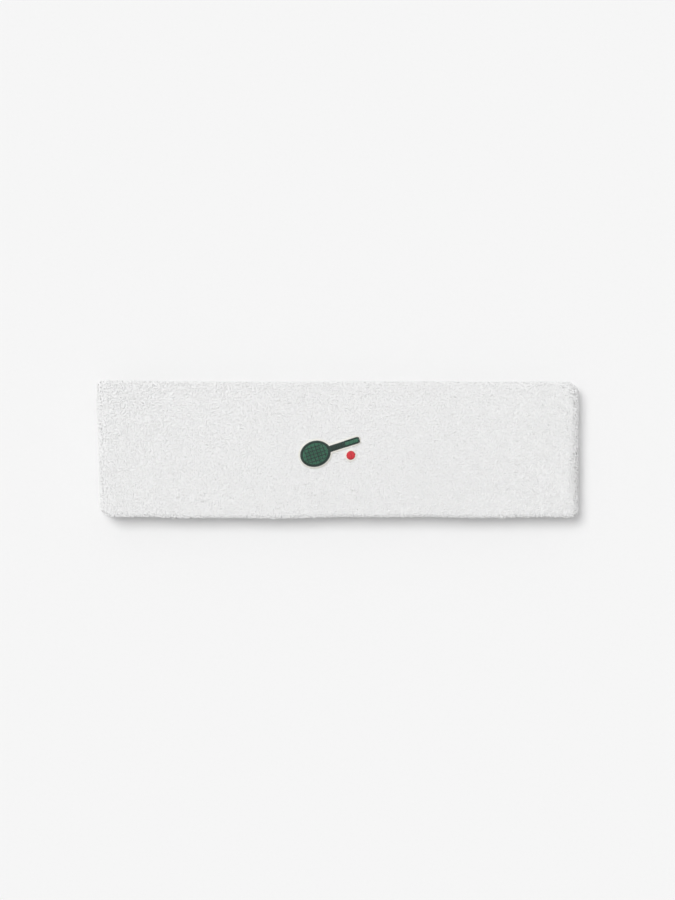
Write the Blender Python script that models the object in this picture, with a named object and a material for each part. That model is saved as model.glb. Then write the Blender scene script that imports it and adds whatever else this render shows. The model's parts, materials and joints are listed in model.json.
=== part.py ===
"""Sports headband, lying flat as a folded loop.

A knitted terry tube is pressed flat into a soft wall and joined end to end, so
it makes a loop.  The loop lies flat: the back wall rests on the ground, the
front wall with the emblem lies on top of it, and a fold closes each end.

Frame: X runs along the band, Y across its width, Z up from the ground.
The origin is at the centre of the ground face.  Units are metres.

The loop opens from flat to round.  Each wall is made in lengths that turn about
hinge lines parallel to Y, on the mid plane between the two walls, and each fold
turns about the same line as the two walls that it joins.
"""

import math

import bmesh
import bpy

# Driving sizes of the band
LENGTH = 0.190
WIDTH = 0.054
WALL = 0.0048
SLIT = 0.0014
GAP = 0.0003

# Hinge lines of the loop, from the centre outwards
CENTRE_BEND = 0.020
SIDE_BEND = 0.055

# Section of the sleeve and of the elastic core inside it
WALL_EDGE_RADIUS = 0.0023
CORE_WIDTH = 0.046
CORE_THICKNESS = 0.0009
CORE_EDGE_RADIUS = 0.0004
CORE_ROOM = 0.00035
CORNER_SEGMENTS = 5
FOLD_STEPS = 18

# Closing seam at centre back
SEAM_WIDTH = 0.0042
SEAM_LENGTH = 0.050
SEAM_THICKNESS = 0.0005
SEAM_EDGE_RADIUS = 0.0002
LAYER_GAP = 0.00015
STITCH_RADIUS = 0.00014
STITCH_PITCH = 0.0025

# Emblem: a racket and a ball, embroidered on a cream backing
EMBLEM_PLACE = (-0.0032, 0.0001)
EMBLEM_TILT = math.radians(18.0)
HEAD_CENTRE = -0.0062
HEAD_LONG = 0.0060
HEAD_SHORT = 0.0050
THROAT_ANGLE = math.radians(38.0)
SHAFT_START = 0.0030
SHAFT_HALF_WIDTH = 0.0012
GRIP_START = 0.0060
RACKET_END = 0.0120
OUTLINE_WIDTH = 0.0009
BACKING_EDGE = 0.0008
BALL_CENTRE = (0.0068, -0.0049)
BALL_RADIUS = 0.0017
BACKING_THICKNESS = 0.0003
THREAD_THICKNESS = 0.0005
HEAD_SEGMENTS = 30

# Heights and places worked out from the sizes above
HEIGHT = 2.0 * WALL + SLIT
MID_PLANE = HEIGHT / 2.0
FOLD_BEND = LENGTH / 2.0 - MID_PLANE - GAP / 2.0
BACK_WALL_MIDDLE = WALL / 2.0
FRONT_WALL_MIDDLE = HEIGHT - WALL / 2.0
FOLD_RADIUS = (SLIT + WALL) / 2.0

COLLECTION_NAME = "sports_headband"


def clear_scene():
    """Remove every object, so the script builds on an empty scene."""
    for obj in list(bpy.data.objects):
        bpy.data.objects.remove(obj, do_unlink=True)


def new_collection(name):
    """Return a new collection linked to the scene."""
    collection = bpy.data.collections.new(name)
    bpy.context.scene.collection.children.link(collection)
    return collection


def principled(name, colour, roughness):
    """Return a Principled material of one plain colour."""
    material = bpy.data.materials.new(name)
    material.use_nodes = True
    shader = material.node_tree.nodes["Principled BSDF"]
    shader.inputs["Base Color"].default_value = (*colour, 1.0)
    shader.inputs["Roughness"].default_value = roughness
    shader.inputs["Metallic"].default_value = 0.0
    return material


# ---------------------------------------------------------------- outlines


def arc(centre, radius, start, end, segments):
    """Points on a circular arc, in radians, both ends included."""
    points = []
    for index in range(segments + 1):
        angle = start + (end - start) * index / segments
        x = centre[0] + radius * math.cos(angle)
        y = centre[1] + radius * math.sin(angle)
        points.append((x, y))
    return points


def rounded_rectangle(width, height, radius):
    """Outline of a rectangle with round corners, centred on the origin."""
    reach_x = width / 2.0 - radius
    reach_y = height / 2.0 - radius
    quarter = math.pi / 2.0
    corners = ((1, 1), (-1, 1), (-1, -1), (1, -1))
    outline = []
    for index, (side_x, side_y) in enumerate(corners):
        centre = (side_x * reach_x, side_y * reach_y)
        outline += arc(centre, radius, index * quarter, (index + 1) * quarter, CORNER_SEGMENTS)
    return outline


def racket_outline(grow):
    """Outline of a racket lying along X, grown outwards by the given distance."""
    long_radius = HEAD_LONG + grow
    short_radius = HEAD_SHORT + grow
    half_width = SHAFT_HALF_WIDTH + grow
    outline = []
    for index in range(HEAD_SEGMENTS + 1):
        sweep = 2.0 * (math.pi - THROAT_ANGLE)
        angle = THROAT_ANGLE + sweep * index / HEAD_SEGMENTS
        outline.append((HEAD_CENTRE + long_radius * math.cos(angle), short_radius * math.sin(angle)))
    outline.append((SHAFT_START, -half_width))
    butt_centre = (RACKET_END + grow - half_width, 0.0)
    outline += arc(butt_centre, half_width, -math.pi / 2.0, math.pi / 2.0, 8)
    outline.append((SHAFT_START, half_width))
    return outline


def head_outline(shrink):
    """Outline of the inside of the racket's head."""
    outline = []
    for index in range(HEAD_SEGMENTS):
        angle = 2.0 * math.pi * index / HEAD_SEGMENTS
        x = HEAD_CENTRE + (HEAD_LONG - shrink) * math.cos(angle)
        outline.append((x, (HEAD_SHORT - shrink) * math.sin(angle)))
    return outline


def grip_outline(shrink):
    """Outline of the inside of the racket's grip."""
    half_width = SHAFT_HALF_WIDTH - shrink
    outline = arc((RACKET_END - SHAFT_HALF_WIDTH, 0.0), half_width, -math.pi / 2.0, math.pi / 2.0, 6)
    outline += arc((GRIP_START, 0.0), half_width, math.pi / 2.0, 1.5 * math.pi, 6)
    return outline


# ------------------------------------------------------------------ shapes


class Builder:
    """Makes the objects of one collection and hangs them on their hinge empties."""

    def __init__(self, collection):
        self.collection = collection
        self.empties = {}

    def hinge(self, name, x, parent=None):
        """Add an empty on a hinge line, carried by its parent empty."""
        empty = bpy.data.objects.new(name, None)
        empty.empty_display_size = 0.005
        self.collection.objects.link(empty)
        self.empties[name] = (empty, x)
        origin_x = 0.0
        origin_z = 0.0
        if parent is not None:
            empty.parent, origin_x = self.empties[parent]
            origin_z = MID_PLANE
        empty.location = (x - origin_x, 0.0, MID_PLANE - origin_z)
        return empty

    def place(self, name, data, body, centre, material, rotation=(0.0, 0.0, 0.0)):
        """Link an object to a body's empty, at a place given in the band's frame."""
        empty, hinge_x = self.empties[body]
        obj = bpy.data.objects.new(name, data)
        self.collection.objects.link(obj)
        obj.parent = empty
        obj.location = (centre[0] - hinge_x, centre[1], centre[2] - MID_PLANE)
        obj.rotation_euler = rotation
        obj.data.materials.append(material)
        return obj

    def flat_shape(self, name, outlines, thickness):
        """Curve data of a flat plate with the given outlines, holes included."""
        curve = bpy.data.curves.new(name, "CURVE")
        curve.dimensions = "2D"
        curve.fill_mode = "BOTH"
        curve.extrude = thickness / 2.0
        for outline in outlines:
            spline = curve.splines.new("POLY")
            spline.points.add(len(outline) - 1)
            for point, (x, y) in zip(spline.points, outline):
                point.co = (x, y, 0.0, 1.0)
            spline.use_cyclic_u = True
        return curve

    def strip(self, name, body, outlines, x_start, x_end, z_middle, material):
        """A straight length of a section drawn in Y and Z, running along X."""
        curve = self.flat_shape(name, outlines, x_end - x_start)
        centre = ((x_start + x_end) / 2.0, 0.0, z_middle)
        turn = (math.pi / 2.0, 0.0, math.pi / 2.0)
        return self.place(name, curve, body, centre, material, turn)

    def plate(self, name, body, outlines, centre, thickness, material, turn_z=0.0):
        """A flat plate lying level, with its underside at the given centre."""
        curve = self.flat_shape(name, outlines, thickness)
        middle = (centre[0], centre[1], centre[2] + thickness / 2.0)
        return self.place(name, curve, body, middle, material, (0.0, 0.0, turn_z))

    def fold(self, name, body, outlines, side, material):
        """A section bent half a turn about the hinge line, opening towards the centre."""
        mesh = bpy.data.meshes.new(name)
        shape = bmesh.new()
        rings = []
        for outline in outlines:
            rings.append([shape.verts.new((0.0, y, z - FOLD_RADIUS)) for y, z in outline])
        if len(rings) == 1:
            section = [shape.faces.new(rings[0])]
        else:
            outer, inner = rings
            section = []
            for i in range(len(outer)):
                section.append(shape.faces.new((outer[i - 1], outer[i], inner[i], inner[i - 1])))
        bmesh.ops.spin(
            shape, geom=section, cent=(0.0, 0.0, 0.0), axis=(0.0, -side, 0.0),
            angle=math.pi, steps=FOLD_STEPS, use_normal_flip=True)
        bmesh.ops.recalc_face_normals(shape, faces=shape.faces)
        shape.to_mesh(mesh)
        shape.free()
        centre = (side * (FOLD_BEND + GAP / 2.0), 0.0, MID_PLANE)
        return self.place(name, mesh, body, centre, material)

    def zigzag(self, name, body, half_width, half_length, height, material):
        """A thread that runs from side to side across a seam, as one closed tube."""
        curve = bpy.data.curves.new(name, "CURVE")
        curve.dimensions = "3D"
        curve.bevel_depth = STITCH_RADIUS
        curve.bevel_resolution = 1
        curve.use_fill_caps = True
        count = int(2.0 * half_length / STITCH_PITCH)
        spline = curve.splines.new("POLY")
        spline.points.add(2 * count)
        for index, point in enumerate(spline.points):
            side = 1.0 if index % 2 else -1.0
            y = -half_length + 2.0 * half_length * index / (2 * count)
            point.co = (side * half_width, y, 0.0, 1.0)
        return self.place(name, curve, body, (0.0, 0.0, height), material)


# -------------------------------------------------------------- sub-parts


def add_hinges(builder):
    """Add the tree of hinge empties: a right and a left chain from centre back."""
    builder.hinge("back_centre", 0.0)
    for side_name, side in (("right", 1.0), ("left", -1.0)):
        chain = (
            ("back_inner_" + side_name, CENTRE_BEND),
            ("back_outer_" + side_name, SIDE_BEND),
            ("fold_" + side_name, FOLD_BEND),
            ("front_outer_" + side_name, FOLD_BEND),
            ("front_inner_" + side_name, SIDE_BEND),
            ("front_centre_" + side_name, CENTRE_BEND),
        )
        parent = "back_centre"
        for name, x in chain:
            builder.hinge(name, side * x, parent)
            parent = name


def wall_lengths(side_name):
    """Name, body, nearest and furthest X and height of each straight length on one side."""
    return (
        ("back_centre_" + side_name, "back_centre", 0.0, CENTRE_BEND, BACK_WALL_MIDDLE),
        ("back_inner_" + side_name, "back_inner_" + side_name, CENTRE_BEND, SIDE_BEND, BACK_WALL_MIDDLE),
        ("back_outer_" + side_name, "back_outer_" + side_name, SIDE_BEND, FOLD_BEND, BACK_WALL_MIDDLE),
        ("front_outer_" + side_name, "front_outer_" + side_name, SIDE_BEND, FOLD_BEND, FRONT_WALL_MIDDLE),
        ("front_inner_" + side_name, "front_inner_" + side_name, CENTRE_BEND, SIDE_BEND, FRONT_WALL_MIDDLE),
        ("front_centre_" + side_name, "front_centre_" + side_name, 0.0, CENTRE_BEND, FRONT_WALL_MIDDLE),
    )


def add_band(builder, terry, elastic):
    """Add the terry sleeve and, inside it, the elastic core, length by length."""
    sleeve_outside = rounded_rectangle(WIDTH, WALL, WALL_EDGE_RADIUS)
    room_height = CORE_THICKNESS + 2.0 * CORE_ROOM
    sleeve_inside = rounded_rectangle(CORE_WIDTH + 2.0 * CORE_ROOM, room_height, CORE_EDGE_RADIUS)
    core_section = rounded_rectangle(CORE_WIDTH, CORE_THICKNESS, CORE_EDGE_RADIUS)
    for side_name, side in (("right", 1.0), ("left", -1.0)):
        for name, body, near, far, height in wall_lengths(side_name):
            ends = sorted((side * (near + GAP / 2.0), side * (far - GAP / 2.0)))
            sleeve = [sleeve_outside, sleeve_inside]
            builder.strip("sleeve_" + name, body, sleeve, ends[0], ends[1], height, terry)
            builder.strip("core_" + name, body, [core_section], ends[0], ends[1], height, elastic)
        fold = "fold_" + side_name
        builder.fold("sleeve_" + fold, fold, [sleeve_outside, sleeve_inside], side, terry)
        builder.fold("core_" + fold, fold, [core_section], side, elastic)


def add_closing_seam(builder, terry, thread):
    """Add the seam ridge on the inner face at centre back, and its overlock thread."""
    ridge_height = WALL + LAYER_GAP
    ridge = rounded_rectangle(SEAM_WIDTH, SEAM_LENGTH, SEAM_EDGE_RADIUS)
    builder.plate("seam_ridge", "back_centre", [ridge], (0.0, 0.0, ridge_height), SEAM_THICKNESS, terry)
    thread_height = ridge_height + SEAM_THICKNESS + LAYER_GAP + STITCH_RADIUS
    half_width = SEAM_WIDTH / 2.0 - STITCH_RADIUS
    half_length = SEAM_LENGTH / 2.0 - STITCH_RADIUS
    builder.zigzag("seam_thread", "back_centre", half_width, half_length, thread_height, thread)


def turned(x, y, angle):
    """A point turned about the origin."""
    cosine = math.cos(angle)
    sine = math.sin(angle)
    return (x * cosine - y * sine, x * sine + y * cosine)


def add_emblem(builder, felt, green, dark_green, red):
    """Add the racket and ball: backing first, then the blocks of thread on it."""
    body = "front_centre_right"
    backing_height = HEIGHT + LAYER_GAP
    thread_height = backing_height + BACKING_THICKNESS + LAYER_GAP
    place_x, place_y = EMBLEM_PLACE
    ground = (place_x, place_y, backing_height)
    top = (place_x, place_y, thread_height)
    builder.plate(
        "emblem_backing", body, [racket_outline(BACKING_EDGE)], ground, BACKING_THICKNESS, felt, EMBLEM_TILT)
    frame = [racket_outline(0.0), head_outline(OUTLINE_WIDTH), grip_outline(OUTLINE_WIDTH / 2.0)]
    builder.plate("emblem_racket_outline", body, frame, top, THREAD_THICKNESS, dark_green, EMBLEM_TILT)
    strings = [head_outline(OUTLINE_WIDTH + LAYER_GAP)]
    builder.plate("emblem_racket_strings", body, strings, top, THREAD_THICKNESS, green, EMBLEM_TILT)
    grip = [grip_outline(OUTLINE_WIDTH / 2.0 + LAYER_GAP)]
    builder.plate("emblem_racket_grip", body, grip, top, THREAD_THICKNESS, green, EMBLEM_TILT)
    ball_x, ball_y = turned(BALL_CENTRE[0], BALL_CENTRE[1], EMBLEM_TILT)
    full_turn = 2.0 * math.pi
    backing = arc((0.0, 0.0), BALL_RADIUS + BACKING_EDGE, 0.0, full_turn, 24)[:-1]
    ball = arc((0.0, 0.0), BALL_RADIUS, 0.0, full_turn, 24)[:-1]
    ball_ground = (place_x + ball_x, place_y + ball_y, backing_height)
    ball_top = (place_x + ball_x, place_y + ball_y, thread_height)
    builder.plate("emblem_ball_backing", body, [backing], ball_ground, BACKING_THICKNESS, felt)
    builder.plate("emblem_ball", body, [ball], ball_top, THREAD_THICKNESS, red)


def main():
    """Build the whole headband."""
    clear_scene()
    builder = Builder(new_collection(COLLECTION_NAME))
    terry = principled("terry_white", (0.80, 0.80, 0.79), 0.95)
    elastic = principled("elastic_white", (0.70, 0.70, 0.68), 0.80)
    thread = principled("thread_white", (0.78, 0.78, 0.76), 0.70)
    felt = principled("felt_cream", (0.80, 0.77, 0.68), 0.90)
    green = principled("thread_green", (0.05, 0.22, 0.12), 0.55)
    dark_green = principled("thread_dark_green", (0.01, 0.06, 0.04), 0.55)
    red = principled("thread_red", (0.45, 0.03, 0.04), 0.55)
    add_hinges(builder)
    add_band(builder, terry, elastic)
    add_closing_seam(builder, terry, thread)
    add_emblem(builder, felt, green, dark_green, red)
    bpy.context.view_layer.update()


if __name__ == "__main__":
    main()
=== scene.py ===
"""Looks of the sports headband: terry sleeve, elastic core, closing seam, emblem and studio.

The band lies flat as a folded loop.  Its centreline runs along X at centre back, turns up
round a fold at each end and comes back over itself, and a section of the flattened tube is
carried along it.  Every surface is worked out from two numbers: how far along the loop a
point is, and how far round the section.
"""

import json
import logging
import math
from collections.abc import Callable
from dataclasses import dataclass, field
from enum import Enum

import bpy
import numpy as np
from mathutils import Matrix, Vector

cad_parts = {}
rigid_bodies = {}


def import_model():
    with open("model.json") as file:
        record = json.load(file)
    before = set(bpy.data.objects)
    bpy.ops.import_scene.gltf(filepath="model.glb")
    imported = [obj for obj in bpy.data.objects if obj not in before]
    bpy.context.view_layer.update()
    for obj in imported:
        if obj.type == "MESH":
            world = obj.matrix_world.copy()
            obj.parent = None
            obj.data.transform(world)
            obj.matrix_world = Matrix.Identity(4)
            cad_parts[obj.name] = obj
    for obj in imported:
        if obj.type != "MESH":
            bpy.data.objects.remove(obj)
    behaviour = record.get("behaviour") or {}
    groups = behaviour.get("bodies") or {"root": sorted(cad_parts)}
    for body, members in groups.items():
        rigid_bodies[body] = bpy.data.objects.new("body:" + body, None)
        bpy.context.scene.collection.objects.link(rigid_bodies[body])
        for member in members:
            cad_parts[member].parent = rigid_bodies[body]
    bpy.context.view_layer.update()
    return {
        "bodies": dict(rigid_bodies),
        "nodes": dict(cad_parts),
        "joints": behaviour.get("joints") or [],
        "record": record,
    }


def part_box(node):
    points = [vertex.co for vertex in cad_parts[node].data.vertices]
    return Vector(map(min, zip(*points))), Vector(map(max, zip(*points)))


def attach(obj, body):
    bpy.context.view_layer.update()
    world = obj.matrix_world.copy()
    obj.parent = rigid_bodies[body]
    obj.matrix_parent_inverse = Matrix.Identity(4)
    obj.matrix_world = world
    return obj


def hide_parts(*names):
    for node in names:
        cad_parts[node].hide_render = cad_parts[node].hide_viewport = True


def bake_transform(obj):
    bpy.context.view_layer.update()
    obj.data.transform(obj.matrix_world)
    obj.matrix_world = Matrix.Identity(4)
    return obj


LOG = logging.getLogger("headband")
MM = 0.001
FULL_TURN = 2.0 * math.pi
WAVE_SCALE = 0.314159  # scale of a wave texture whose bands repeat once in a metre


class Side(Enum):
    """The two halves of the loop, seen with the emblem up."""

    RIGHT = 1
    LEFT = -1


# ------------------------------------------------------------------ mesh tools


def make_object(name: str, points: np.ndarray, quads: np.ndarray,
                triangles: np.ndarray | None = None) -> bpy.types.Object:
    """Put arrays of points and faces into a smooth mesh object at the origin.

    Args:
        name: Name of the piece.
        points: Array of shape (n, 3), in metres.
        quads: Array of shape (m, 4) of point numbers.
        triangles: Array of shape (k, 3) of point numbers, if there are any.

    Returns:
        The linked object.
    """
    mesh = bpy.data.meshes.new(name)
    if triangles is None:
        triangles = np.empty((0, 3), np.int32)
    corners = np.concatenate([quads.ravel(), triangles.ravel()]).astype(np.int32)
    starts = np.concatenate([
        np.arange(len(quads)) * 4,
        quads.size + np.arange(len(triangles)) * 3]).astype(np.int32)
    mesh.vertices.add(len(points))
    mesh.vertices.foreach_set("co", np.ascontiguousarray(points, np.float32).ravel())
    mesh.loops.add(len(corners))
    mesh.loops.foreach_set("vertex_index", corners)
    mesh.polygons.add(len(starts))
    mesh.polygons.foreach_set("loop_start", starts)
    mesh.update(calc_edges=True)
    mesh.polygons.foreach_set("use_smooth", np.ones(len(starts), bool))
    obj = bpy.data.objects.new(name, mesh)
    bpy.context.scene.collection.objects.link(obj)
    return obj


def add_values(obj: bpy.types.Object, name: str, values: np.ndarray) -> None:
    """Store one number for each point of a mesh, under a name its material reads."""
    layer = obj.data.attributes.new(name, "FLOAT", "POINT")
    layer.data.foreach_set("value", values.astype(np.float32).ravel())


def grid_quads(rows: int, columns: int, closed: bool) -> np.ndarray:
    """Faces of a grid of points, wrapped round in its columns where closed is true."""
    wide = columns if closed else columns - 1
    row, column = np.meshgrid(np.arange(rows - 1), np.arange(wide), indexing="ij")
    after = (column + 1) % columns
    corners = [row * columns + column, (row + 1) * columns + column,
               (row + 1) * columns + after, row * columns + after]
    return np.stack(corners, -1).reshape(-1, 4)


def unit(vectors: np.ndarray) -> np.ndarray:
    """Vectors of length one in the same directions."""
    return vectors / np.maximum(np.linalg.norm(vectors, axis=-1, keepdims=True), 1e-12)


def smooth_step(values: np.ndarray) -> np.ndarray:
    """Ease from 0 to 1: the cubic 3t^2 - 2t^3 of the values held between 0 and 1."""
    held = np.clip(values, 0.0, 1.0)
    return held * held * (3.0 - 2.0 * held)


def tubes(paths: np.ndarray, across: np.ndarray, radius: np.ndarray,
          sides: int) -> tuple[np.ndarray, np.ndarray, np.ndarray]:
    """Carry a round profile along many short paths at once.

    Each point of a tube is its path point plus radius times (cos a * n1 + sin a * n2), where
    n1 is square to the path and to the given across vector, and n2 is square to both.

    Args:
        paths: Array (n, k, 3) of path points.
        across: Array (n, 3), a vector that no path runs along.
        radius: Array (n, k) of the yarn's radius.
        sides: How many sides the profile has.

    Returns:
        The points (n*k*sides, 3), the quads, with the ends left open, and the outward
        direction at each point.
    """
    count, steps = paths.shape[:2]
    along = unit(np.gradient(paths, axis=1))
    first = unit(np.cross(along, across[:, None, :]))
    second = np.cross(along, first)
    angle = (np.arange(sides) + 0.5) * FULL_TURN / sides
    ring = (np.cos(angle)[:, None] * first[:, :, None, :]
            + np.sin(angle)[:, None] * second[:, :, None, :])
    points = paths[:, :, None, :] + radius[:, :, None, None] * ring
    one = grid_quads(steps, sides, True)[:, ::-1]
    starts = np.arange(count) * steps * sides
    quads = (one[None] + starts[:, None, None]).reshape(-1, 4)
    return points.reshape(-1, 3), quads, ring.reshape(-1, 3)


def tube_caps(count: int, steps: int, sides: int) -> np.ndarray:
    """Triangle fans that close both ends of each tube."""
    fan = np.stack([np.zeros(sides - 2, int), np.arange(1, sides - 1), np.arange(2, sides)], -1)
    one = np.concatenate([fan[:, ::-1], fan + (steps - 1) * sides])
    starts = np.arange(count) * steps * sides
    return (one[None] + starts[:, None, None]).reshape(-1, 3)


def hub_fans(rows: int, columns: int) -> np.ndarray:
    """Triangle fans that close a wrapped grid from two hubs.

    The hub of the first row is the point after the grid's last, and that of the last row
    comes next.
    """
    ring = np.arange(columns)
    after = (ring + 1) % columns
    last = (rows - 1) * columns
    near = np.stack([np.full(columns, rows * columns), ring, after], -1)
    far = np.stack([np.full(columns, rows * columns + 1), last + after, last + ring], -1)
    return np.concatenate([near, far])


# ------------------------------------------------------------- shape of the loop


@dataclass(frozen=True)
class Loop:
    """Centreline of the wall, all the way round the flat loop.

    Distance s is zero at centre back, grows towards +X, and reaches half the loop at centre
    front; the left half has negative s and is the mirror image of the right half.
    """

    fold_x: float
    mid_z: float
    radius: float

    @property
    def arc(self) -> float:
        """Length of one fold."""
        return math.pi * self.radius

    @property
    def half(self) -> float:
        """Length from centre back to centre front."""
        return 2.0 * self.fold_x + self.arc

    def over(self, x: float) -> float:
        """Distance s of the point of the front wall that lies above x."""
        return self.half - x

    def frames(self, s: np.ndarray) -> tuple[np.ndarray, np.ndarray, np.ndarray]:
        """Centre, direction and outward normal at each distance s.

        The back wall is a straight line, the fold is a half circle about (fold_x, mid_z), and
        the front wall is a straight line back to the middle.
        """
        side = np.where(s < 0.0, -1.0, 1.0)
        reach = np.abs(s)
        turn = np.clip((reach - self.fold_x) / self.radius, 0.0, math.pi) - math.pi / 2.0
        under = np.minimum(reach, self.fold_x)
        back = np.maximum(reach - self.fold_x - self.arc, 0.0)
        x = under - back + self.radius * np.cos(turn)
        z = self.mid_z + self.radius * np.sin(turn)
        zero = np.zeros_like(x)
        centre = np.stack([side * x, zero, z], -1)
        along = np.stack([-np.sin(turn), zero, side * np.cos(turn)], -1)
        outward = np.stack([side * np.cos(turn), zero, np.sin(turn)], -1)
        return centre, along, outward


@dataclass(frozen=True)
class Section:
    """Outline of the flattened tube: a rectangle with round edges, across Y and outwards."""

    width: float
    thickness: float
    radius: float

    def _arcs(self) -> tuple[np.ndarray, np.ndarray, np.ndarray]:
        """A fine outline, its normals and the length round it, starting mid outer face."""
        reach = self.width / 2.0 - self.radius
        rise = self.thickness / 2.0 - self.radius
        corners = ((-1.0, 1.0), (-1.0, -1.0), (1.0, -1.0), (1.0, 1.0))
        points = [np.array([[0.0, self.thickness / 2.0]])]
        normals = [np.array([[0.0, 1.0]])]
        for number, (b_side, a_side) in enumerate(corners):
            angle = math.pi / 2.0 * (1 + number) + np.linspace(0.0, math.pi / 2.0, 13)
            spoke = np.stack([np.cos(angle), np.sin(angle)], -1)
            points.append(np.array([b_side * reach, a_side * rise]) + self.radius * spoke)
            normals.append(spoke)
        points.append(points[0])
        normals.append(normals[0])
        outline = np.concatenate(points)
        steps = np.linalg.norm(np.diff(outline, axis=0), axis=1)
        return outline, np.concatenate(normals), np.concatenate([[0.0], np.cumsum(steps)])

    @property
    def girth(self) -> float:
        """Length once round the outline."""
        return float(self._arcs()[2][-1])

    def at(self, u: np.ndarray) -> tuple[np.ndarray, np.ndarray]:
        """Place and normal (across, outwards) at each length u round the outline."""
        outline, normals, length = self._arcs()
        turns = np.mod(u, length[-1])
        place = np.stack([np.interp(turns, length, outline[:, i]) for i in (0, 1)], -1)
        normal = np.stack([np.interp(turns, length, normals[:, i]) for i in (0, 1)], -1)
        return place, unit(normal)


@dataclass(frozen=True)
class Wave:
    """A sine over the flat band: height * sin(x * along_x + y * along_y + phase)."""

    height: float
    along_x: float
    along_y: float = 0.0
    phase: float = 0.0

    def at(self, x: np.ndarray, y: np.ndarray) -> np.ndarray:
        """The wave's height at each place."""
        return self.height * np.sin(x * self.along_x + y * self.along_y + self.phase)


@dataclass(frozen=True)
class CornerCut:
    """How one corner is rounded off: its end and edge, how long and deep, and how round."""

    end: int
    edge: int
    length: float
    depth: float
    power: float


@dataclass(frozen=True)
class Lie:
    """How the soft band really lies: corners pulled in, edges that wander, shallow creases."""

    half_length: float
    half_width: float
    height: float
    fold_x: float
    mid_z: float
    fold_power: float = 2.5
    end_zone: tuple[float, float] = (0.60, 0.34)
    lean: float = 0.9 * MM
    lean_share: tuple[float, float] = (-0.28, -0.55)
    bulge: float = 0.35 * MM
    bulge_place: float = 17.0 * MM
    bulge_spread: float = 4.0 * MM
    right_shift: float = 0.20 * MM
    right_ripple: Wave = Wave(0.08 * MM, 0.0, 310.0)
    taper: float = 0.27 * MM
    wander: float = 0.20 * MM
    upper_calm: float = 0.35
    sway: tuple[Wave, Wave] = (Wave(1.0, 71.0, 0.0, 0.6), Wave(0.6, 163.0, 0.0, 2.1))
    bow: Wave = Wave(0.15 * MM, 33.0)
    swell: float = 0.018
    swell_waves: tuple[Wave, Wave] = (Wave(1.0, 58.0, 41.0), Wave(0.7, 97.0, -120.0, 1.3))
    crease: float = 0.28 * MM
    crease_spread: float = 2.2 * MM
    slant_share: float = 0.8
    slant_spread: float = 2.0 * MM
    streak_share: float = 0.35
    streak_reach: float = 5.0 * MM
    floor_gap: float = 0.03 * MM
    floor_ease: float = 0.30 * MM
    floor_zone: float = 2.0 * MM
    corners: tuple[CornerCut, ...] = (
        CornerCut(1, 1, 4.6 * MM, 3.4 * MM, 1.25), CornerCut(1, -1, 4.2 * MM, 3.6 * MM, 2.2),
        CornerCut(-1, 1, 3.2 * MM, 3.0 * MM, 2.4), CornerCut(-1, -1, 6.2 * MM, 4.4 * MM, 1.5))

    def settle(self, points: np.ndarray) -> np.ndarray:
        """Move points from the ideal shape to where the soft cloth lies.

        The folds are pressed, the ends lean, the edges follow a sum of two sines along X, the
        corners are cut, the upper edge closes in by taper * (1 + x / half length), heights
        swell by another pair of sines, creases dent the top, and heights near the floor are
        eased up by (z + sqrt(z^2 + c^2)) / 2.
        """
        y = points[..., 1]
        x, z = self._press_folds(points[..., 0], points[..., 2])
        across = np.clip(y / self.half_width, -1.0, 1.0)
        start, over = self.end_zone
        near_end = smooth_step((np.abs(x) - start * self.half_length) / (over * self.half_length))
        new_x = x - np.sign(x) * self._inward(x, y, across) * near_end
        sway = sum(wave.at(x, y) for wave in self.sway)
        sway = sway * np.where(across < 0.0, 1.0, self.upper_calm)
        new_y = y + self.wander * sway * across ** 2 + self.bow.at(x, y)
        new_y = new_y - np.sign(y) * self._corner_cut(x, y, across)
        new_y = new_y - self.taper * (1.0 + x / self.half_length) * smooth_step(across)
        lift = sum(wave.at(x, y) for wave in self.swell_waves)
        new_z = z * (1.0 + self.swell * lift * (1.0 - 0.6 * np.abs(across)))
        top = smooth_step((z / self.height - 0.45) / 0.4)
        new_z = new_z - self.crease * self._creases(x, y, across) * top
        eased = 0.5 * (new_z + np.sqrt(new_z ** 2 + self.floor_ease ** 2))
        new_z = self.floor_gap + np.where(new_z < self.floor_zone, eased, new_z)
        return np.stack([new_x, new_y, new_z], -1)

    def _press_folds(self, x: np.ndarray, z: np.ndarray) -> tuple[np.ndarray, np.ndarray]:
        """Press each fold from a round into a superellipse.

        A point's spoke from the fold's axis grows by (|cos|^p + |sin|^p)^(-1/p).
        """
        beyond, above = np.maximum(np.abs(x) - self.fold_x, 0.0), z - self.mid_z
        spoke = np.maximum(np.hypot(beyond, above), 1e-9)
        press = ((beyond / spoke) ** self.fold_power
                 + (np.abs(above) / spoke) ** self.fold_power) ** (-1.0 / self.fold_power)
        return x + np.sign(x) * beyond * (press - 1.0), z + above * (press - 1.0)

    def _inward(self, x: np.ndarray, y: np.ndarray, across: np.ndarray) -> np.ndarray:
        """How far each end is drawn in: the left one leans and bulges, the right one ripples."""
        bulge = self.bulge * np.exp(-((y - self.bulge_place) / self.bulge_spread) ** 2)
        base, slope = self.lean_share
        return np.where(x < 0.0, self.lean * (base + slope * across) - bulge,
                        self.right_ripple.at(x, y) - self.right_shift)

    def _corner_cut(self, x: np.ndarray, y: np.ndarray, across: np.ndarray) -> np.ndarray:
        """Depth cut off each edge: depth * (1 - (1 - t^p)^(1/p)), with t from 0 to 1."""
        cut = np.zeros_like(y)
        for corner in self.corners:
            into = np.clip((np.abs(x) - self.half_length + corner.length) / corner.length,
                           0.0, 1.0)
            round_off = 1.0 - (1.0 - into ** corner.power) ** (1.0 / corner.power)
            here = (x * corner.end > 0.0) & (y * corner.edge > 0.0)
            cut = cut + np.where(here, corner.depth * round_off * across ** 4, 0.0)
        return cut

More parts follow.
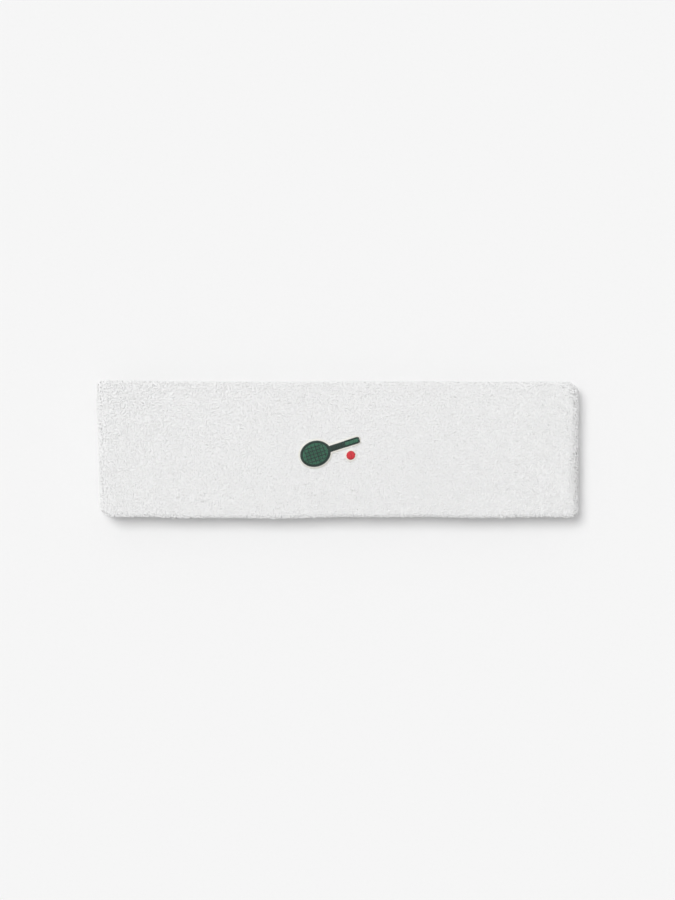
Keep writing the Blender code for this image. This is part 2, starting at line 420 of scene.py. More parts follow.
    def _creases(self, x: np.ndarray, y: np.ndarray, across: np.ndarray) -> np.ndarray:
        """Dents of the top face: across the right end, streaks there, and one at lower left."""
        dent = np.exp(-((x - 0.890 * self.half_length + 0.05 * y) / self.crease_spread) ** 2)
        streaks = smooth_step((x - 0.86 * self.half_length) / self.streak_reach)
        dent = dent + self.streak_share * streaks * np.sin(x * 2900.0 + 2.0 * np.sin(y * 170.0))
        slant = (x + 0.90 * self.half_length) * 0.75 + (y + 0.80 * self.half_width) * 0.66
        lower = smooth_step(-across * 2.2 - 0.6)
        return dent + self.slant_share * np.exp(-(slant / self.slant_spread) ** 2) * lower


@dataclass(frozen=True)
class Span:
    """A length of the loop, which rides on one body or lies across the hinge of two."""

    name: str
    s_start: float
    s_end: float
    bodies: tuple[str, ...]
    blend_x: tuple[float, float]

    def bend(self, piece: bpy.types.Object, mid_z: float) -> None:
        """Let a piece of this span ride on its body; across two bodies, its transform is only baked
        into its points.
        """
        if len(self.bodies) == 1:
            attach(piece, self.bodies[0])
            return
        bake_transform(piece)


@dataclass
class BandLayout:
    """Reads the frame and divides the loop into spans, one for each hinge line.

    Each wall keeps the first share, fold_tuck, of the arc of its fold.  When the loop opens,
    both tucked shares slide round inside the fold's own piece and close its hollow side.
    """

    frame: dict
    flat_reach: float = 16.4 * MM
    bend_reach: float = 9.0 * MM
    fold_tuck: float = 1.0 / 6.0
    seam_dip: float = 0.30
    seam_spread: float = 1.1 * MM
    spans: list[Span] = field(default_factory=list)

    def __post_init__(self) -> None:
        """Work out the loop, the section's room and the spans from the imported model."""
        hinge = {joint["name"]: joint["pos_m"] for joint in self.frame["joints"]}
        self.bend_centre = hinge["open_back_inner_right"][0]
        self.bend_side = hinge["open_back_outer_right"][0]
        self.fold_x = hinge["open_fold_right"][0]
        self.mid_z = hinge["open_fold_right"][2]
        low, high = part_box("sleeve_front_centre_right")
        self.wall = high.z - low.z
        self.width = high.y - low.y
        self.height = high.z
        self.half_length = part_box("sleeve_fold_right")[1].x
        self.loop = Loop(self.fold_x, self.mid_z, self.height / 2.0 - self.wall / 2.0)
        fold = self.fold_x + self.fold_tuck * self.loop.arc
        self.fold_edges = (fold, self.loop.over(fold))
        self.lie = Lie(self.half_length, self.width / 2.0, self.height, self.fold_x, self.mid_z)
        for side in Side:
            self.spans += self._spans_of(side)

    def _spans_of(self, side: Side) -> list[Span]:
        """The seven spans of one half of the loop, one for each sleeve node."""
        loop, tag = self.loop, "_" + side.name.lower()
        inner = self.bend_centre + (self.bend_side - self.bend_centre) / 2.0
        outer = self.bend_side + (self.bend_side - inner)
        first, second, reach = self.bend_centre, self.bend_side, self.bend_reach
        fold, over = self.fold_edges
        rows = (
            ("back_centre", 0.0, inner, ("back_centre", "back_inner"),
             (first - reach, first + reach)),
            ("back_inner", inner, outer, ("back_inner", "back_outer"),
             (second - reach, second + reach)),
            ("back_outer", outer, fold, ("back_outer",), (0.0, 0.0)),
            ("fold", fold, over, ("fold",), (0.0, 0.0)),
            ("front_outer", over, loop.over(outer), ("front_outer",), (0.0, 0.0)),
            ("front_inner", loop.over(outer), loop.over(inner), ("front_outer", "front_inner"),
             (second + reach, second - reach)),
            ("front_centre", loop.over(inner), loop.half, ("front_inner", "front_centre"),
             (first + reach, self.flat_reach)),
        )
        spans = []
        for name, s_start, s_end, bodies, blend_x in rows:
            ends = sorted((side.value * s_start, side.value * s_end))
            bodies = tuple(b if b == "back_centre" else b + tag for b in bodies)
            reach_x = (side.value * blend_x[0], side.value * blend_x[1])
            spans.append(Span(name + tag, ends[0], ends[1], bodies, reach_x))
        return spans

    def surface(self, section: Section, s: np.ndarray, u: np.ndarray,
                raise_by: np.ndarray | float = 0.0,
                squeeze: bool = True) -> tuple[np.ndarray, ...]:
        """Points of a section carried along the loop.

        Point = centre(s) + outward(s) * a(u) + Y * b(u), raised along the surface normal.  At
        the closing seam the outer face dips by a Gaussian of s, where the ends are sewn down.

        Args:
            section: The outline that is carried.
            s: Distance along the loop of each point.
            u: Length round the outline of each point.
            raise_by: How far each point stands off the surface.
            squeeze: Whether the closing seam dents the outer face.

        Returns:
            Points, unit normals and unit directions along the loop, before settling.
        """
        centre, along, outward = self.loop.frames(s)
        place, normal = section.at(u)
        dip = self.seam_dip * np.exp(-(s / self.seam_spread) ** 2) if squeeze else 0.0
        thin = 1.0 - dip * (place[..., 1] > 0.0)
        up = np.zeros_like(outward)
        up[..., 1] = 1.0
        facing = outward * normal[..., 1:2] + up * normal[..., 0:1]
        points = (centre + outward * (place[..., 1] * thin)[..., None]
                  + up * place[..., 0:1] + facing * np.asarray(raise_by)[..., None])
        return points, facing, along


# ------------------------------------------------------------------- finishes


@dataclass(frozen=True)
class CottonFinish:
    """Colours of a knitted cotton: light is its own tone, and deep is a painted shade, used deep in
    the pile, in the stitch hollows and between ribs.
    """

    light: tuple[float, float, float] = (0.936, 0.936, 0.936)
    deep: tuple[float, float, float] = (0.928, 0.928, 0.928)
    roughness: float = 0.92
    sheen: float = 0.70


@dataclass(frozen=True)
class ThreadFinish:
    """Colours and gloss of an embroidery or sewing thread."""

    light: tuple[float, float, float]
    deep: tuple[float, float, float]
    roughness: float = 0.42
    sheen: float = 0.20


WHITE_COTTON = CottonFinish()
GREEN_THREAD = ThreadFinish((0.045, 0.175, 0.105), (0.018, 0.085, 0.050))
DARK_THREAD = ThreadFinish((0.016, 0.045, 0.034), (0.005, 0.018, 0.013))
RED_THREAD = ThreadFinish((0.72, 0.035, 0.050), (0.42, 0.012, 0.022))
WHITE_THREAD = ThreadFinish((0.92, 0.92, 0.915), (0.80, 0.80, 0.79), roughness=0.60)


def new_material(name: str) -> tuple[bpy.types.Material, bpy.types.NodeTree]:
    """An empty node material.

    Args:
        name: Name of the material.

    Returns:
        The material and its cleared node tree.
    """
    material = bpy.data.materials.new(name)
    material.use_nodes = True
    material.node_tree.nodes.clear()
    return material, material.node_tree


def yarn_material(name: str, finish: CottonFinish) -> bpy.types.Material:
    """Cotton loops: painted shade deep in the pile, lighter at the tips, each loop a little
    different.

    Args:
        name: Name of the material.
        finish: Its colours.

    Returns:
        The material, which reads the attributes pile_height and yarn_shade.
    """
    material, tree = new_material(name)
    foot_shade_frame = tree.nodes.new("NodeFrame")
    foot_shade_frame.label = "Painted shade deep in the pile"
    mottle_frame = tree.nodes.new("NodeFrame")
    mottle_frame.label = "Mottle of the cloth"
    fibre_frame = tree.nodes.new("NodeFrame")
    fibre_frame.label = "Fibres of the yarn"

    height = tree.nodes.new("ShaderNodeAttribute")
    height.label = "Height in the pile"
    height.attribute_name = "pile_height"
    height.parent = foot_shade_frame
    height.location = (-1100, 300)
    # Painted shade: the yarn turns darker towards the foot of each loop, deep in the pile, where
    # less light reaches.
    ramp = tree.nodes.new("ShaderNodeValToRGB")
    ramp.label = "Painted shade at the foot to tip"
    ramp.parent = foot_shade_frame
    ramp.location = (-880, 300)
    ramp.color_ramp.elements[0].position = 0.0
    ramp.color_ramp.elements[0].color = (*finish.deep, 1.0)
    ramp.color_ramp.elements[1].position = 0.70
    ramp.color_ramp.elements[1].color = (*finish.light, 1.0)

    shade = tree.nodes.new("ShaderNodeAttribute")
    shade.label = "Shade of each loop"
    shade.attribute_name = "yarn_shade"
    shade.parent = mottle_frame
    shade.location = (-1100, 0)
    place = tree.nodes.new("ShaderNodeTexCoord")
    place.label = "Place on the band"
    place.parent = mottle_frame
    place.location = (-1320, -160)
    cloud = tree.nodes.new("ShaderNodeTexNoise")
    cloud.label = "Worn and brushed patches"
    cloud.parent = mottle_frame
    cloud.location = (-1100, -160)
    cloud.inputs["Scale"].default_value = 170.0
    cloud.inputs["Detail"].default_value = 3.0
    join = tree.nodes.new("ShaderNodeMath")
    join.label = "Loop shade and patches"
    join.operation = "MULTIPLY_ADD"
    join.parent = mottle_frame
    join.location = (-880, -60)
    join.inputs[1].default_value = 0.55
    mix = tree.nodes.new("ShaderNodeMix")
    mix.label = "Mottled cotton"
    mix.data_type = "RGBA"
    mix.blend_type = "MULTIPLY"
    mix.parent = mottle_frame
    mix.location = (-620, 120)
    tint = tree.nodes.new("ShaderNodeValToRGB")
    tint.label = "Shade to tint"
    tint.parent = mottle_frame
    tint.location = (-700, -80)
    tint.color_ramp.elements[0].position = 0.15
    tint.color_ramp.elements[0].color = (0.99, 0.99, 0.99, 1.0)
    tint.color_ramp.elements[1].position = 0.95
    tint.color_ramp.elements[1].color = (1.0, 1.0, 1.0, 1.0)
    mix.inputs["Factor"].default_value = 1.0

    fibre = tree.nodes.new("ShaderNodeTexNoise")
    fibre.label = "Spun fibres"
    fibre.parent = fibre_frame
    fibre.location = (-880, -420)
    fibre.inputs["Scale"].default_value = 6500.0
    fibre.inputs["Detail"].default_value = 2.0
    bump = tree.nodes.new("ShaderNodeBump")
    bump.label = "Fibre relief"
    bump.parent = fibre_frame
    bump.location = (-620, -420)
    bump.inputs["Strength"].default_value = 0.35
    bump.inputs["Distance"].default_value = 0.00006
    rough = tree.nodes.new("ShaderNodeMapRange")
    rough.label = "Dull between fibres"
    rough.parent = fibre_frame
    rough.location = (-620, -240)
    rough.inputs["To Min"].default_value = finish.roughness - 0.06
    rough.inputs["To Max"].default_value = min(finish.roughness + 0.06, 1.0)

    shader = tree.nodes.new("ShaderNodeBsdfPrincipled")
    shader.label = "Cotton"
    shader.location = (-300, 100)
    shader.inputs["Sheen Weight"].default_value = finish.sheen
    shader.inputs["Sheen Roughness"].default_value = 0.5
    shader.inputs["Diffuse Roughness"].default_value = 1.0
    shader.inputs["Specular IOR Level"].default_value = 0.25
    output = tree.nodes.new("ShaderNodeOutputMaterial")
    output.label = "Surface"
    output.location = (20, 100)

    links = tree.links
    links.new(height.outputs["Fac"], ramp.inputs["Fac"])
    links.new(place.outputs["Object"], cloud.inputs["Vector"])
    links.new(shade.outputs["Fac"], join.inputs[0])
    links.new(cloud.outputs["Fac"], join.inputs[2])
    links.new(join.outputs["Value"], tint.inputs["Fac"])
    links.new(ramp.outputs["Color"], mix.inputs["A"])
    links.new(tint.outputs["Color"], mix.inputs["B"])
    links.new(mix.outputs["Result"], shader.inputs["Base Color"])
    links.new(place.outputs["Object"], fibre.inputs["Vector"])
    links.new(fibre.outputs["Fac"], bump.inputs["Height"])
    links.new(fibre.outputs["Fac"], rough.inputs["Value"])
    links.new(rough.outputs["Result"], shader.inputs["Roughness"])
    links.new(bump.outputs["Normal"], shader.inputs["Normal"])
    links.new(shader.outputs["BSDF"], output.inputs["Surface"])
    return material


def knit_material(name: str, finish: CottonFinish, wale: float,
                  course: float) -> bpy.types.Material:
    """Ground cloth between the loops: columns and rows of small stitches, with painted shade in
    their hollows.

    Args:
        name: Name of the material.
        finish: Its colours.
        wale: Width of one column of stitches, in metres.
        course: Height of one row of stitches, in metres.

    Returns:
        The material, which reads the UV map cloth, in metres along and round the tube.
    """
    material, tree = new_material(name)
    knit_frame = tree.nodes.new("NodeFrame")
    knit_frame.label = "Rows and columns of stitches"
    cloth = tree.nodes.new("ShaderNodeUVMap")
    cloth.label = "Along and round the tube"
    cloth.uv_map = "cloth"
    cloth.parent = knit_frame
    cloth.location = (-1200, 0)
    columns = tree.nodes.new("ShaderNodeTexWave")
    columns.label = "Columns"
    columns.bands_direction = "Y"
    columns.parent = knit_frame
    columns.location = (-960, 120)
    columns.inputs["Scale"].default_value = 1.0 / wale * WAVE_SCALE
    columns.inputs["Distortion"].default_value = 1.5
    rows = tree.nodes.new("ShaderNodeTexWave")
    rows.label = "Rows"
    rows.bands_direction = "X"
    rows.parent = knit_frame
    rows.location = (-960, -180)
    rows.inputs["Scale"].default_value = 1.0 / course * WAVE_SCALE
    rows.inputs["Distortion"].default_value = 1.5
    crossing = tree.nodes.new("ShaderNodeMath")
    crossing.label = "Stitches"
    crossing.operation = "MULTIPLY"
    crossing.parent = knit_frame
    crossing.location = (-740, 0)
    # Painted shade: darker in the hollows between stitches, lighter on their crowns.
    ramp = tree.nodes.new("ShaderNodeValToRGB")
    ramp.label = "Painted shade in hollows to crowns"
    ramp.parent = knit_frame
    ramp.location = (-540, 120)
    ramp.color_ramp.elements[0].color = (*finish.deep, 1.0)
    ramp.color_ramp.elements[1].color = (*finish.light, 1.0)
    bump = tree.nodes.new("ShaderNodeBump")
    bump.label = "Stitch relief"
    bump.parent = knit_frame
    bump.location = (-540, -180)
    bump.inputs["Strength"].default_value = 0.6
    bump.inputs["Distance"].default_value = 0.0003
    shader = tree.nodes.new("ShaderNodeBsdfPrincipled")
    shader.label = "Knitted cotton"
    shader.location = (-220, 60)
    shader.inputs["Roughness"].default_value = finish.roughness
    shader.inputs["Sheen Weight"].default_value = finish.sheen
    output = tree.nodes.new("ShaderNodeOutputMaterial")
    output.label = "Surface"
    output.location = (80, 60)
    links = tree.links
    links.new(cloth.outputs["UV"], columns.inputs["Vector"])
    links.new(cloth.outputs["UV"], rows.inputs["Vector"])
    links.new(columns.outputs["Fac"], crossing.inputs[0])
    links.new(rows.outputs["Fac"], crossing.inputs[1])
    links.new(crossing.outputs["Value"], ramp.inputs["Fac"])
    links.new(crossing.outputs["Value"], bump.inputs["Height"])
    links.new(ramp.outputs["Color"], shader.inputs["Base Color"])
    links.new(bump.outputs["Normal"], shader.inputs["Normal"])
    links.new(shader.outputs["BSDF"], output.inputs["Surface"])
    return material


def thread_material(name: str, finish: ThreadFinish) -> bpy.types.Material:
    """Twisted thread: slanted plies along it, and a shade of its own for each stitch.

    Args:
        name: Name of the material.
        finish: Its colours and gloss.

    Returns:
        The material, which reads the attributes yarn_shade and thread_turn.
    """
    material, tree = new_material(name)
    colour_frame = tree.nodes.new("NodeFrame")
    colour_frame.label = "Colour of each stitch"
    twist_frame = tree.nodes.new("NodeFrame")
    twist_frame.label = "Twist of the plies"
    shade = tree.nodes.new("ShaderNodeAttribute")
    shade.label = "Shade of each stitch"
    shade.attribute_name = "yarn_shade"
    shade.parent = colour_frame
    shade.location = (-1100, 220)
    turn = tree.nodes.new("ShaderNodeAttribute")
    turn.label = "Turns along the thread"
    turn.attribute_name = "thread_turn"
    turn.parent = twist_frame
    turn.location = (-1100, -80)
    ply = tree.nodes.new("ShaderNodeMath")
    ply.label = "Plies"
    ply.operation = "SINE"
    ply.parent = twist_frame
    ply.location = (-880, -80)
    place = tree.nodes.new("ShaderNodeTexCoord")
    place.label = "Place on the emblem"
    place.parent = colour_frame
    place.location = (-1320, 60)
    cloud = tree.nodes.new("ShaderNodeTexNoise")
    cloud.label = "Uneven dye"
    cloud.parent = colour_frame
    cloud.location = (-1100, 60)
    cloud.inputs["Scale"].default_value = 900.0
    both = tree.nodes.new("ShaderNodeMath")
    both.label = "Stitch shade and dye"
    both.operation = "MULTIPLY_ADD"
    both.parent = colour_frame
    both.location = (-880, 160)
    both.inputs[1].default_value = 0.6
    ramp = tree.nodes.new("ShaderNodeValToRGB")
    ramp.label = "Deep to light thread"
    ramp.parent = colour_frame
    ramp.location = (-660, 160)
    ramp.color_ramp.elements[0].position = 0.25
    ramp.color_ramp.elements[0].color = (*finish.deep, 1.0)
    ramp.color_ramp.elements[1].position = 0.95
    ramp.color_ramp.elements[1].color = (*finish.light, 1.0)
    bump = tree.nodes.new("ShaderNodeBump")
    bump.label = "Ply relief"
    bump.parent = twist_frame
    bump.location = (-660, -80)
    bump.inputs["Strength"].default_value = 0.4
    bump.inputs["Distance"].default_value = 0.00005
    shader = tree.nodes.new("ShaderNodeBsdfPrincipled")
    shader.label = "Thread"
    shader.location = (-340, 100)
    shader.inputs["Roughness"].default_value = finish.roughness
    shader.inputs["Sheen Weight"].default_value = finish.sheen
    output = tree.nodes.new("ShaderNodeOutputMaterial")
    output.label = "Surface"
    output.location = (-20, 100)
    links = tree.links
    links.new(place.outputs["Object"], cloud.inputs["Vector"])
    links.new(shade.outputs["Fac"], both.inputs[0])
    links.new(cloud.outputs["Fac"], both.inputs[2])
    links.new(both.outputs["Value"], ramp.inputs["Fac"])
    links.new(turn.outputs["Fac"], ply.inputs[0])
    links.new(ply.outputs["Value"], bump.inputs["Height"])
    links.new(ramp.outputs["Color"], shader.inputs["Base Color"])
    links.new(bump.outputs["Normal"], shader.inputs["Normal"])
    links.new(shader.outputs["BSDF"], output.inputs["Surface"])
    return material


def woven_material(name: str, light: tuple, deep: tuple, rib: float) -> bpy.types.Material:
    """Woven elastic or felted backing: fine ribs crossed by a cloudy weave, with painted shade
    between the ribs.

    Args:
        name: Name of the material.
        light: Colour of the ribs.
        deep: Colour painted between them as shade, also where the cloudy fibres are dark.
        rib: Distance between ribs, in metres.

    Returns:
        The material, which reads object coordinates.
    """
    material, tree = new_material(name)
    weave_frame = tree.nodes.new("NodeFrame")
    weave_frame.label = "Weave"
    place = tree.nodes.new("ShaderNodeTexCoord")
    place.label = "Place on the band"
    place.parent = weave_frame
    place.location = (-1100, 0)
    ribs = tree.nodes.new("ShaderNodeTexWave")
    ribs.label = "Ribs"
    ribs.bands_direction = "Y"
    ribs.parent = weave_frame
    ribs.location = (-860, 120)
    ribs.inputs["Scale"].default_value = 1.0 / rib * WAVE_SCALE
    ribs.inputs["Distortion"].default_value = 0.8
    cloud = tree.nodes.new("ShaderNodeTexNoise")
    cloud.label = "Cloudy fibres"
    cloud.parent = weave_frame
    cloud.location = (-860, -180)
    cloud.inputs["Scale"].default_value = 2600.0
    both = tree.nodes.new("ShaderNodeMath")
    both.label = "Ribs and fibres"
    both.operation = "MULTIPLY"
    both.parent = weave_frame
    both.location = (-640, 0)
    # Painted shade between the ribs, multiplied with the fibres' random cloudy tone.
    ramp = tree.nodes.new("ShaderNodeValToRGB")
    ramp.label = "Painted shade between ribs to crowns"
    ramp.parent = weave_frame
    ramp.location = (-440, 120)
    ramp.color_ramp.elements[0].color = (*deep, 1.0)
    ramp.color_ramp.elements[1].position = 0.6
    ramp.color_ramp.elements[1].color = (*light, 1.0)
    bump = tree.nodes.new("ShaderNodeBump")
    bump.label = "Weave relief"
    bump.parent = weave_frame
    bump.location = (-440, -180)
    bump.inputs["Strength"].default_value = 0.5
    bump.inputs["Distance"].default_value = 0.0001
    shader = tree.nodes.new("ShaderNodeBsdfPrincipled")
    shader.label = "Woven surface"
    shader.location = (-120, 60)
    shader.inputs["Roughness"].default_value = 0.85
    output = tree.nodes.new("ShaderNodeOutputMaterial")
    output.label = "Surface"
    output.location = (180, 60)
    links = tree.links
    links.new(place.outputs["Object"], ribs.inputs["Vector"])
    links.new(place.outputs["Object"], cloud.inputs["Vector"])
    links.new(ribs.outputs["Fac"], both.inputs[0])
    links.new(cloud.outputs["Fac"], both.inputs[1])
    links.new(both.outputs["Value"], ramp.inputs["Fac"])
    links.new(both.outputs["Value"], bump.inputs["Height"])
    links.new(ramp.outputs["Color"], shader.inputs["Base Color"])
    links.new(bump.outputs["Normal"], shader.inputs["Normal"])
    links.new(shader.outputs["BSDF"], output.inputs["Surface"])
    return material


# --------------------------------------------------------------- terry sleeve


@dataclass
class TerrySleeve:
    """The knitted tube: ground cloth, and a dense short pile of yarn loops standing on it."""

    layout: BandLayout
    emblem: "Emblem"
    pile_depth: float = 0.42 * MM
    edge_depth: float = 0.34 * MM
    edge_radius: float = 1.10 * MM
    grid_step: float = 0.95 * MM
    loop_pitch: float = 0.745 * MM
    loop_height: float = 0.34 * MM
    foot_depth: float = 0.15 * MM
    loop_width: float = 0.48 * MM
    yarn_radius: float = 0.28 * MM
    slit_share: float = 0.60
    stray_share: float = 0.012
    stray_edge: float = 0.10
    stray_growth: float = 1.7
    seam_spread: float = 1.3 * MM
    lean: float = 0.34 * MM
    curl: float = 0.18 * MM
    nap: float = 0.97
    crown: tuple[float, float] = (2.6, 1.8)
    edge_light: tuple[float, float] = (1.5, 2.7)
    loop_steps: int = 5
    loop_sides: int = 3
    seed: int = 7

    def __post_init__(self) -> None:
        """Set out the ground section, a pile depth inside the sleeve's own outline."""
        self.section = Section(self.layout.width - 2.0 * self.edge_depth,
                               self.layout.wall - 2.0 * self.pile_depth, self.edge_radius)
        self.knit = knit_material("terry_ground_knit", WHITE_COTTON, 1.1 * MM, 0.8 * MM)
        self.yarn = yarn_material("terry_pile_yarn", WHITE_COTTON)

    def build(self) -> None:
        """Build ground cloth and pile for every span.
        """
        s, u, keep_draw = self._lattice()
        for number, span in enumerate(self.layout.spans):
            cloth = self._ground(span)
            if span.name.startswith("fold"):
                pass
            else:
                self.section.girth
            inside = (s >= span.s_start) & (s < span.s_end)
            self._pile(span, s[inside], u[inside], keep_draw[inside], number)

    def _lattice(self) -> tuple[np.ndarray, np.ndarray, np.ndarray]:
        """Feet of the loops: staggered rows over the whole loop of the band, then jittered.

        Round a fold the outer face is longer than the centreline, by its radius over the
        centreline's, so the rows are evened out along the outer face.

        Returns:
            Distance along, length round, and a number from 0 to 1 that thins the inner faces.
        """
        draw = np.random.default_rng(self.seed)
        girth, loop = self.section.girth, self.layout.loop
        stretch = 1.0 + self.layout.wall / 2.0 / loop.radius
        flat = np.array([0.0, loop.fold_x, loop.fold_x + loop.arc, loop.half])
        outer = np.array([0.0, loop.fold_x, loop.fold_x + stretch * loop.arc,
                          loop.half + (stretch - 1.0) * loop.arc])
        half = outer[-1]
        rows, columns = int(2.0 * half / self.loop_pitch), int(girth / self.loop_pitch)
        row, column = np.meshgrid(np.arange(rows), np.arange(columns), indexing="ij")
        s = (row + 0.5 + draw.uniform(-0.42, 0.42, row.shape)) * 2.0 * half / rows - half
        s = np.sign(s) * np.interp(np.abs(s), outer, flat)
        u = (column + 0.5 * (row % 2) + draw.uniform(-0.42, 0.42, row.shape)) * girth / columns
        return s.ravel(), u.ravel(), draw.uniform(0.0, 1.0, s.size)

    def _ground(self, span: Span) -> bpy.types.Object:
        """One length of the ground tube."""
        girth = self.section.girth
        rows = max(int((span.s_end - span.s_start) / self.grid_step), 4)
        columns = 4 * int(girth / self.grid_step / 4.0)
        s, u = np.meshgrid(np.linspace(span.s_start, span.s_end, rows),
                           np.arange(columns) * girth / columns, indexing="ij")
        points = self.layout.surface(self.section, s, u)[0]
        points = self.layout.lie.settle(points).reshape(-1, 3)
        quads, triangles = [grid_quads(rows, columns, True)], [np.empty((0, 3), int)]
        for end, s_end in ((0, span.s_start), (rows - 1, span.s_end)):
            beside = min(abs(abs(s_end) - edge) for edge in self.layout.fold_edges) < 1e-6
            if beside and not span.name.startswith("fold"):
                strips, corners = self._end_cap(end, columns)
                quads.append(strips)
                triangles.append(corners)
        cloth = make_object("terry_ground_" + span.name, points, np.concatenate(quads),
                            np.concatenate(triangles))
        cloth.data.materials.append(self.knit)
        self._sharpen_ends(cloth, rows, columns)
        self._map_cloth(cloth, s, u, columns, girth)
        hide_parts("sleeve_" + span.name)
        span.bend(cloth, self.layout.mid_z)
        LOG.info("%s: %d points", cloth.name, len(points))
        return cloth

    def _end_cap(self, end: int, columns: int) -> tuple[np.ndarray, np.ndarray]:
        """Strips that close one end of a tube, from its outer face to its inner face.

        With q a quarter of the ring, point k lies straight over point 2q - k, so a strip joins
        k, k + 1, 2q - k - 1 and 2q - k, and a triangle closes each edge of the band.

        Args:
            end: Row of points that the cap closes.
            columns: How many points the ring has.

        Returns:
            The strips and the two triangles, facing out of the tube.
        """
        quarter = columns // 4
        k = np.arange(1 - quarter, quarter - 1)
        strips = np.stack([k, k + 1, 2 * quarter - k - 1, 2 * quarter - k], -1) % columns
        corners = np.array([[quarter - 1, quarter, quarter + 1],
                            [3 * quarter, 3 * quarter + 1, 3 * quarter - 1]])
        if end:
            strips, corners = strips[:, ::-1], corners[:, ::-1]
        return strips + end * columns, corners + end * columns

    def _sharpen_ends(self, cloth: bpy.types.Object, rows: int, columns: int) -> None:
        """Mark the first and last ring as sharp, so that an end cap doesn't shade the tube."""
        ends = np.empty(2 * len(cloth.data.edges), np.int32)
        cloth.data.edges.foreach_get("vertices", ends)
        row = ends.reshape(-1, 2) // columns
        rim = (row[:, 0] == row[:, 1]) & np.isin(row[:, 0], (0, rows - 1))
        cloth.data.edges.foreach_set("use_edge_sharp", rim)

    def _map_cloth(self, cloth: bpy.types.Object, s: np.ndarray, u: np.ndarray,
                   columns: int, girth: float) -> None:
        """Store metres along and round the tube as the cloth's UV map."""
        corners = np.empty(len(cloth.data.loops), np.int32)
        cloth.data.loops.foreach_get("vertex_index", corners)
        round_it = u.ravel()[corners]
        tube = 4 * (s.shape[0] - 1) * columns
        faces = round_it[:tube].reshape(-1, 4)
        wrapped = (faces.max(1) - faces.min(1)) > girth / 2.0
        faces = np.where(wrapped[:, None] & (faces < girth / 2.0), faces + girth, faces)
        round_it[:tube] = faces.ravel()
        layer = cloth.data.uv_layers.new(name="cloth")
        pairs = np.stack([s.ravel()[corners], round_it], -1)
        layer.data.foreach_set("uv", pairs.astype(np.float32).ravel())

    def _pile(self, span: Span, s: np.ndarray, u: np.ndarray, keep_draw: np.ndarray,
              number: int) -> None:
        """The yarn loops on one length of the tube.

        Args:
            span: The length of the band that the loops stand on.
            s: Distance along the band of each foot.
            u: Length round the tube of each foot.
            keep_draw: Number from 0 to 1 for each foot, against which inner faces are thinned.
            number: Number of the span, for its own random draw.
        """
        draw = np.random.default_rng(self.seed + 1 + number)
        depth = np.full(s.shape, -self.foot_depth)
        feet, facing, along = self.layout.surface(self.section, s, u, depth)
        inner_face = self._inner_share(feet, facing)
        keep = ~self.emblem.covers(feet, self.layout.height)
        keep &= keep_draw > inner_face * (1.0 - self.slit_share)
        feet, facing, along, s, inner_face = (a[keep] for a in (feet, facing, along, s, inner_face))
        count = len(feet)
        paths, sideways, rise = self._loop_paths(draw, feet, facing, along, s, inner_face)
        radius = np.repeat(self.yarn_radius * draw.uniform(0.88, 1.14, count)[:, None],
                           self.loop_steps, axis=1)
        points, quads, outward = tubes(paths, sideways, radius, self.loop_sides)
        points[:, 2] = np.maximum(points[:, 2], 0.0)
        caps = tube_caps(count, self.loop_steps, self.loop_sides)
        pile = make_object("terry_pile_" + span.name, points, quads, caps)
        each = self.loop_steps * self.loop_sides
        nap = self._nap_normals(feet, facing, s, outward, each)
        pile.data.normals_split_custom_set_from_vertices(nap.astype(np.float32))
        add_values(pile, "pile_height", np.repeat(np.tile(rise, count), self.loop_sides))
        add_values(pile, "yarn_shade", np.repeat(draw.uniform(0.0, 1.0, count), each))
        pile.data.materials.append(self.yarn)
        span.bend(pile, self.layout.mid_z)
        LOG.info("%s: %d loops", pile.name, count)

    def _loop_paths(self, draw: np.random.Generator, feet: np.ndarray, facing: np.ndarray,
                    along: np.ndarray, s: np.ndarray,
                    inner_face: np.ndarray) -> tuple[np.ndarray, np.ndarray, np.ndarray]:
        """Paths of the yarn, one short arch for each foot.

        A loop's path is along * -w cos(pi t) (0.6 + 0.5 sin(pi t))
        + across * (lean sin(pi t)^2 + curl sin(2 pi t)) + up * h sin(pi t)^0.8, turned by a
        random angle in the surface.  A few stray loops stand taller, most of them on the
        lower edge, and the loops beside the closing seam are shorter.

        Args:
            draw: The span's random draw.
            feet: Foot of each loop.
            facing: Normal of the cloth there.
            along: Direction along the band there.
            s: Distance along the band of each foot.
            inner_face: How far each foot faces into the slit, from 0 to 1.

        Returns:
            The settled paths, the direction across each loop, and the rise at each step.
        """
        count = len(feet)
        height = self.loop_height * draw.uniform(0.85, 1.15, count) * (1.0 - 0.25 * inner_face)
        lower = np.clip(-facing[:, 1], 0.0, 1.0)
        stray = draw.uniform(0.0, 1.0, count) < self.stray_share + self.stray_edge * lower
        height = height * np.where(stray, self.stray_growth, 1.0)
        height = height * (1.0 - 0.5 * np.exp(-(s / self.seam_spread) ** 2) * (1.0 - inner_face))
        width = self.loop_width * draw.uniform(0.8, 1.35, count) * (1.0 + 0.3 * inner_face)
        lean = draw.normal(0.0, self.lean, count)
        curl = draw.normal(0.0, self.curl, count)
        angle = draw.uniform(0.0, FULL_TURN, count)
        side_on = np.cross(facing, along)
        forward = along * np.cos(angle)[:, None] + side_on * np.sin(angle)[:, None]
        sideways = np.cross(facing, forward)

        t = np.linspace(0.0, 1.0, self.loop_steps)
        arch = np.sin(math.pi * t)
        run = -np.cos(math.pi * t) * (0.6 + 0.5 * arch)
        rise = np.maximum(arch, 0.0) ** 0.8
        paths = (feet[:, None, :]
                 + forward[:, None, :] * (width[:, None] * run)[..., None]
                 + sideways[:, None, :] * (lean[:, None] * arch ** 2
                                           + curl[:, None] * np.sin(FULL_TURN * t))[..., None]
                 + facing[:, None, :] * (height[:, None] * rise)[..., None])
        return self.layout.lie.settle(paths), sideways, rise

